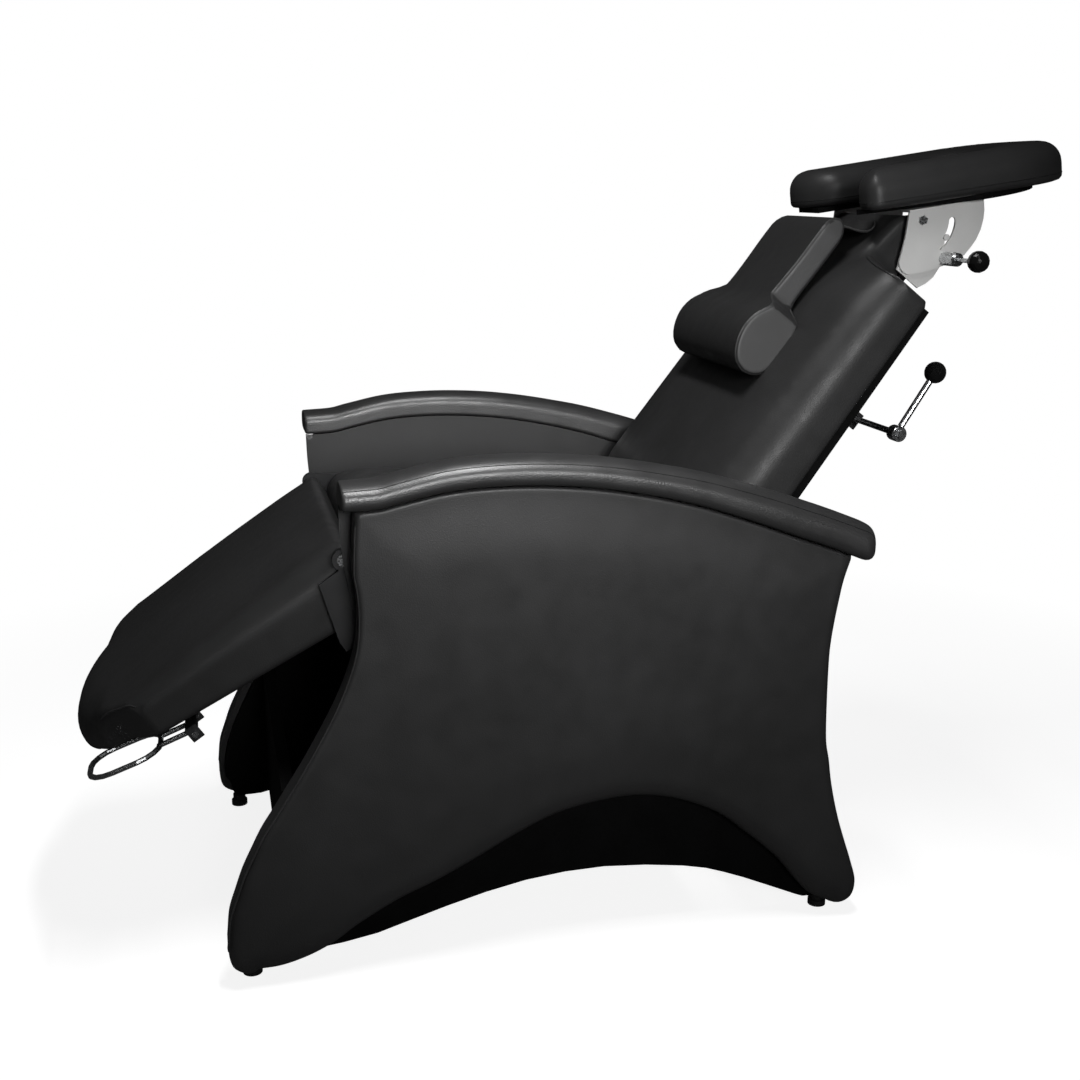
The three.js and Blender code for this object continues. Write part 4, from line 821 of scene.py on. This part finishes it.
def pillow_flap():
    """The flap that holds the pillow: two layers of vinyl, laid over the neck and under the headrest."""
    line = smooth_line(FLAP, 0.004)
    ahead = np.gradient(line, axis=0)
    ahead /= np.linalg.norm(ahead, axis=1)[:, None]
    square = np.column_stack([-ahead[:, 1], ahead[:, 0]])
    across = np.concatenate([[-1, -0.995, -0.985, -0.965], np.linspace(-0.93, 0.93, 36),
                             [0.965, 0.985, 0.995, 1]])
    run = np.linspace(0, 1, len(line))
    half = 0.0845 - 0.020 * step_up(run, 0.80, 1.0) ** 2
    thin = 0.0030 * np.sqrt(np.clip(1 - np.abs(across) ** 24, 0.02, 1))
    vertices, rows = [], len(across)
    for face in (1, -1):
        for i in range(len(line)):
            for k in range(rows):
                wave = 0.0006 * math.sin(9 * across[k] + 2.2 * run[i] * 6) * run[i]
                p = line[i] + square[i] * (face * thin[k] / 2 * (1 if 0 < i < len(line) - 1 else 0.3) + wave)
                vertices.append((across[k] * half[i], p[0], p[1]))
    count = len(line) * rows
    faces = []
    for i in range(len(line) - 1):
        for k in range(rows - 1):
            a = i * rows + k
            faces.append((a, a + 1, a + rows + 1, a + rows))
            faces.append((count + a, count + a + rows, count + a + rows + 1, count + a + 1))
    for i in range(len(line) - 1):
        for k, flip in ((0, False), (rows - 1, True)):
            a = i * rows + k
            quad = (a, a + rows, count + a + rows, count + a)
            faces.append(tuple(reversed(quad)) if flip else quad)
    for k in range(rows - 1):
        for i, flip in ((0, True), (len(line) - 1, False)):
            a = i * rows + k
            quad = (a, a + 1, count + a + 1, count + a)
            faces.append(quad if flip else tuple(reversed(quad)))
    placed = BACK.place(vertices)
    obj = make_object("upholstered_pillow_flap", placed, facing_out(placed, faces), 60)
    return obj, [np.column_stack([sign * half * 0.985, line + square * 0.0016]) for sign in (1, -1)]


flap, hems = pillow_flap()
dress(flap, VINYL_TOP, "back")
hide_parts("pillow_flap")
for hand, line in zip(("left", "right"), hems):
    dress(tube(f"flap_hem_{hand}", line[2:], 0.0014, plane=BACK), WELT_PAINTED_HIGHLIGHT, "back")

# Headrest

PAD_OUT, PAD_ARM = 0.162, 0.100       # half width of the pad, width of one arm
PAD_BEND, PAD_LOW = 0.114, -0.094     # where the bend starts and the arms end
PAD_UNDER = 0.0264
BEND_POWER = 3.1                      # 2 for a round bend, more for a squarer one


def headrest_pad():
    """The horseshoe pad: a squarish bend behind, and two arms with rounded inner corners."""
    step = 0.0065
    inner = PAD_OUT - PAD_ARM
    a = np.linspace(0, math.pi, 72)
    c, s = np.cos(a), np.sin(a)
    square = (np.abs(c) ** BEND_POWER + s ** BEND_POWER) ** (-1 / BEND_POWER)
    outer_arc = np.column_stack([PAD_OUT * square * c, PAD_BEND + PAD_OUT * square * s])
    inner_arc = np.column_stack([inner * c, PAD_BEND + inner * s])[::-1]
    crisp, round_x, round_v = 0.018, PAD_ARM - 0.022, 0.060
    t = np.radians(np.linspace(0, -90, 10))
    outside = np.column_stack([PAD_OUT - crisp + crisp * np.cos(t), PAD_LOW + crisp + crisp * np.sin(t)])
    t = np.radians(np.linspace(-90, -180, 16))
    inside = np.column_stack([inner + round_x + round_x * np.cos(t), PAD_LOW + round_v + round_v * np.sin(t)])
    right_tip = np.vstack([outside, inside])
    loop = np.vstack([outer_arc, mirrored(right_tip)[::-1], inner_arc, right_tip[::-1]])
    outline = even(np.vstack([loop, loop[:1]]), step)[:-1]
    edge = np.vstack([outline, outline[:1]])

    def top(p):
        high = 0.0875 + 0.002 * step_up(p[:, 1], -0.08, 0.22)
        return high - rounding(p, edge, 0.036, 0.036, 2.1)

    def bottom(p):
        return PAD_UNDER + rounding(p, edge, 0.010, 0.009)

    obj = slab("upholstered_headrest", HEAD, outline, top, bottom, step=0.008, rows=6)
    ring = outline[::2]
    seam = np.column_stack([ring, np.full(len(ring), PAD_UNDER + 0.012)])
    return obj, seam


pad, pad_seam = headrest_pad()
dress(pad, VINYL_TOP, "headrest")
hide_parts("headrest_pad")
dress(tube("headrest_seam", pad_seam, 0.0007, closed=True, plane=HEAD), SEAM, "headrest")

# Room, lights and camera

def flat(name, size, location, turn=(0, 0, 0)):
    x, y = size[0] / 2, size[1] / 2
    obj = make_object(name, [(-x, -y, 0), (x, -y, 0), (x, y, 0), (-x, y, 0)], [(0, 1, 2, 3)])
    obj.location, obj.rotation_euler = location, turn
    return obj


FLOOR_WHITE = 1.0
GLOSS_LEVEL = 0.025                   # how bright the white room looks in reflections
NEAR_GLOW = 0.86                      # the lit floor adds the rest near the chair
floor = flat("floor", (16, 16), (0, 0, 0))
m = bpy.data.materials.new("pale_floor")
m.use_nodes = True
tree = m.node_tree
tree.nodes.remove(tree.nodes["Principled BSDF"])
out = tree.nodes["Material Output"]
shade = tree.nodes.new("ShaderNodeBsdfDiffuse")
glow = tree.nodes.new("ShaderNodeEmission")
far_white = tree.nodes.new("ShaderNodeEmission")
for lamp in (glow, far_white):
    lamp.inputs["Color"].default_value = (1, 1, 1, 1)
far_white.inputs["Strength"].default_value = FLOOR_WHITE
path = tree.nodes.new("ShaderNodeLightPath")


def math_node(tree, operation, a, b, clamp=False):
    n = tree.nodes.new("ShaderNodeMath")
    n.operation = operation
    n.use_clamp = clamp
    for i, v in enumerate((a, b)):
        if isinstance(v, (int, float)):
            n.inputs[i].default_value = v
        else:
            tree.links.new(v, n.inputs[i])
    return n.outputs["Value"]


def backdrop_level(tree, path):
    """1 for the camera and through glass, a dark grey in reflections, and 0 for the rest."""
    seen = math_node(tree, "MAXIMUM", path.outputs["Is Camera Ray"], path.outputs["Is Transmission Ray"])
    gloss = math_node(tree, "MULTIPLY", path.outputs["Is Glossy Ray"], GLOSS_LEVEL)
    return math_node(tree, "MAXIMUM", seen, gloss)


level = backdrop_level(tree, path)
tree.links.new(math_node(tree, "MULTIPLY", level, NEAR_GLOW), glow.inputs["Strength"])
pale = tree.nodes.new("ShaderNodeMix")
pale.data_type = "RGBA"
pale.inputs["A"].default_value = (0.5, 0.5, 0.5, 1)
pale.inputs["B"].default_value = (0.03, 0.03, 0.03, 1)
tree.links.new(path.outputs["Is Glossy Ray"], pale.inputs["Factor"])
tree.links.new(pale.outputs["Result"], shade.inputs["Color"])
tree.links.new(level, far_white.inputs["Strength"])
near = tree.nodes.new("ShaderNodeAddShader")
tree.links.new(shade.outputs["BSDF"], near.inputs[0])
tree.links.new(glow.outputs["Emission"], near.inputs[1])
place = tree.nodes.new("ShaderNodeTexCoord")
size = tree.nodes.new("ShaderNodeVectorMath")
size.operation = "LENGTH"
tree.links.new(place.outputs["Object"], size.inputs[0])
ramp = tree.nodes.new("ShaderNodeMapRange")
ramp.inputs["From Min"].default_value = 1.0
ramp.inputs["From Max"].default_value = 2.0
tree.links.new(size.outputs["Value"], ramp.inputs["Value"])
mix = tree.nodes.new("ShaderNodeMixShader")
tree.links.new(ramp.outputs["Result"], mix.inputs["Fac"])
tree.links.new(near.outputs["Shader"], mix.inputs[1])
tree.links.new(far_white.outputs["Emission"], mix.inputs[2])
tree.links.new(mix.outputs["Shader"], out.inputs["Surface"])
floor.data.materials.append(m)

world = bpy.data.worlds.new("studio")
bpy.context.scene.world = world
world.use_nodes = True
tree = world.node_tree
light = tree.nodes["Background"]
light.inputs["Color"].default_value = (0.06, 0.06, 0.062, 1)
white = tree.nodes.new("ShaderNodeBackground")
path = tree.nodes.new("ShaderNodeLightPath")
white.inputs["Color"].default_value = (1, 1, 1, 1)
mix = tree.nodes.new("ShaderNodeMixShader")
shown = math_node(tree, "MAXIMUM", path.outputs["Is Camera Ray"], path.outputs["Is Transmission Ray"])
either = math_node(tree, "MAXIMUM", shown, path.outputs["Is Glossy Ray"])
tree.links.new(backdrop_level(tree, path), white.inputs["Strength"])
tree.links.new(either, mix.inputs["Fac"])
tree.links.new(light.outputs["Background"], mix.inputs[1])
tree.links.new(white.outputs["Background"], mix.inputs[2])
tree.links.new(mix.outputs["Shader"], tree.nodes["World Output"].inputs["Surface"])


def softbox(name, size, location, target, power, spread=180):
    data = bpy.data.lights.new(name, "AREA")
    data.shape = "RECTANGLE"
    data.size, data.size_y = size
    data.energy = power
    data.spread = math.radians(spread)
    obj = bpy.data.objects.new(name, data)
    bpy.context.scene.collection.objects.link(obj)
    obj.location = location
    obj.rotation_euler = (Vector(target) - Vector(location)).to_track_quat("-Z", "Y").to_euler()
    return obj


softbox("key", (0.9, 0.7), (2.9, 0.0, 1.42), (0.3, -0.02, 0.98), 4.2, spread=44)
softbox("overhead", (0.22, 1.0), (0.55, -0.12, 2.3), (0.32, -0.12, 0.7), 7.5, spread=90)

CAMERA_PLACE, LENS = (2.18, -0.56012, 1.10), 47.33
CAMERA_TURN, CAMERA_TILT = math.radians(13.4), math.radians(14)
data = bpy.data.cameras.new("camera")
data.sensor_width = 36
data.lens = LENS
camera = bpy.data.objects.new("camera", data)
bpy.context.scene.collection.objects.link(camera)
camera.location = CAMERA_PLACE
ahead = Vector((-math.cos(CAMERA_TURN) * math.cos(CAMERA_TILT), math.sin(CAMERA_TURN) * math.cos(CAMERA_TILT),
                -math.sin(CAMERA_TILT)))
camera.rotation_euler = ahead.to_track_quat("-Z", "Y").to_euler()
bpy.context.scene.camera = camera
bpy.context.scene.view_settings.view_transform = "Standard"
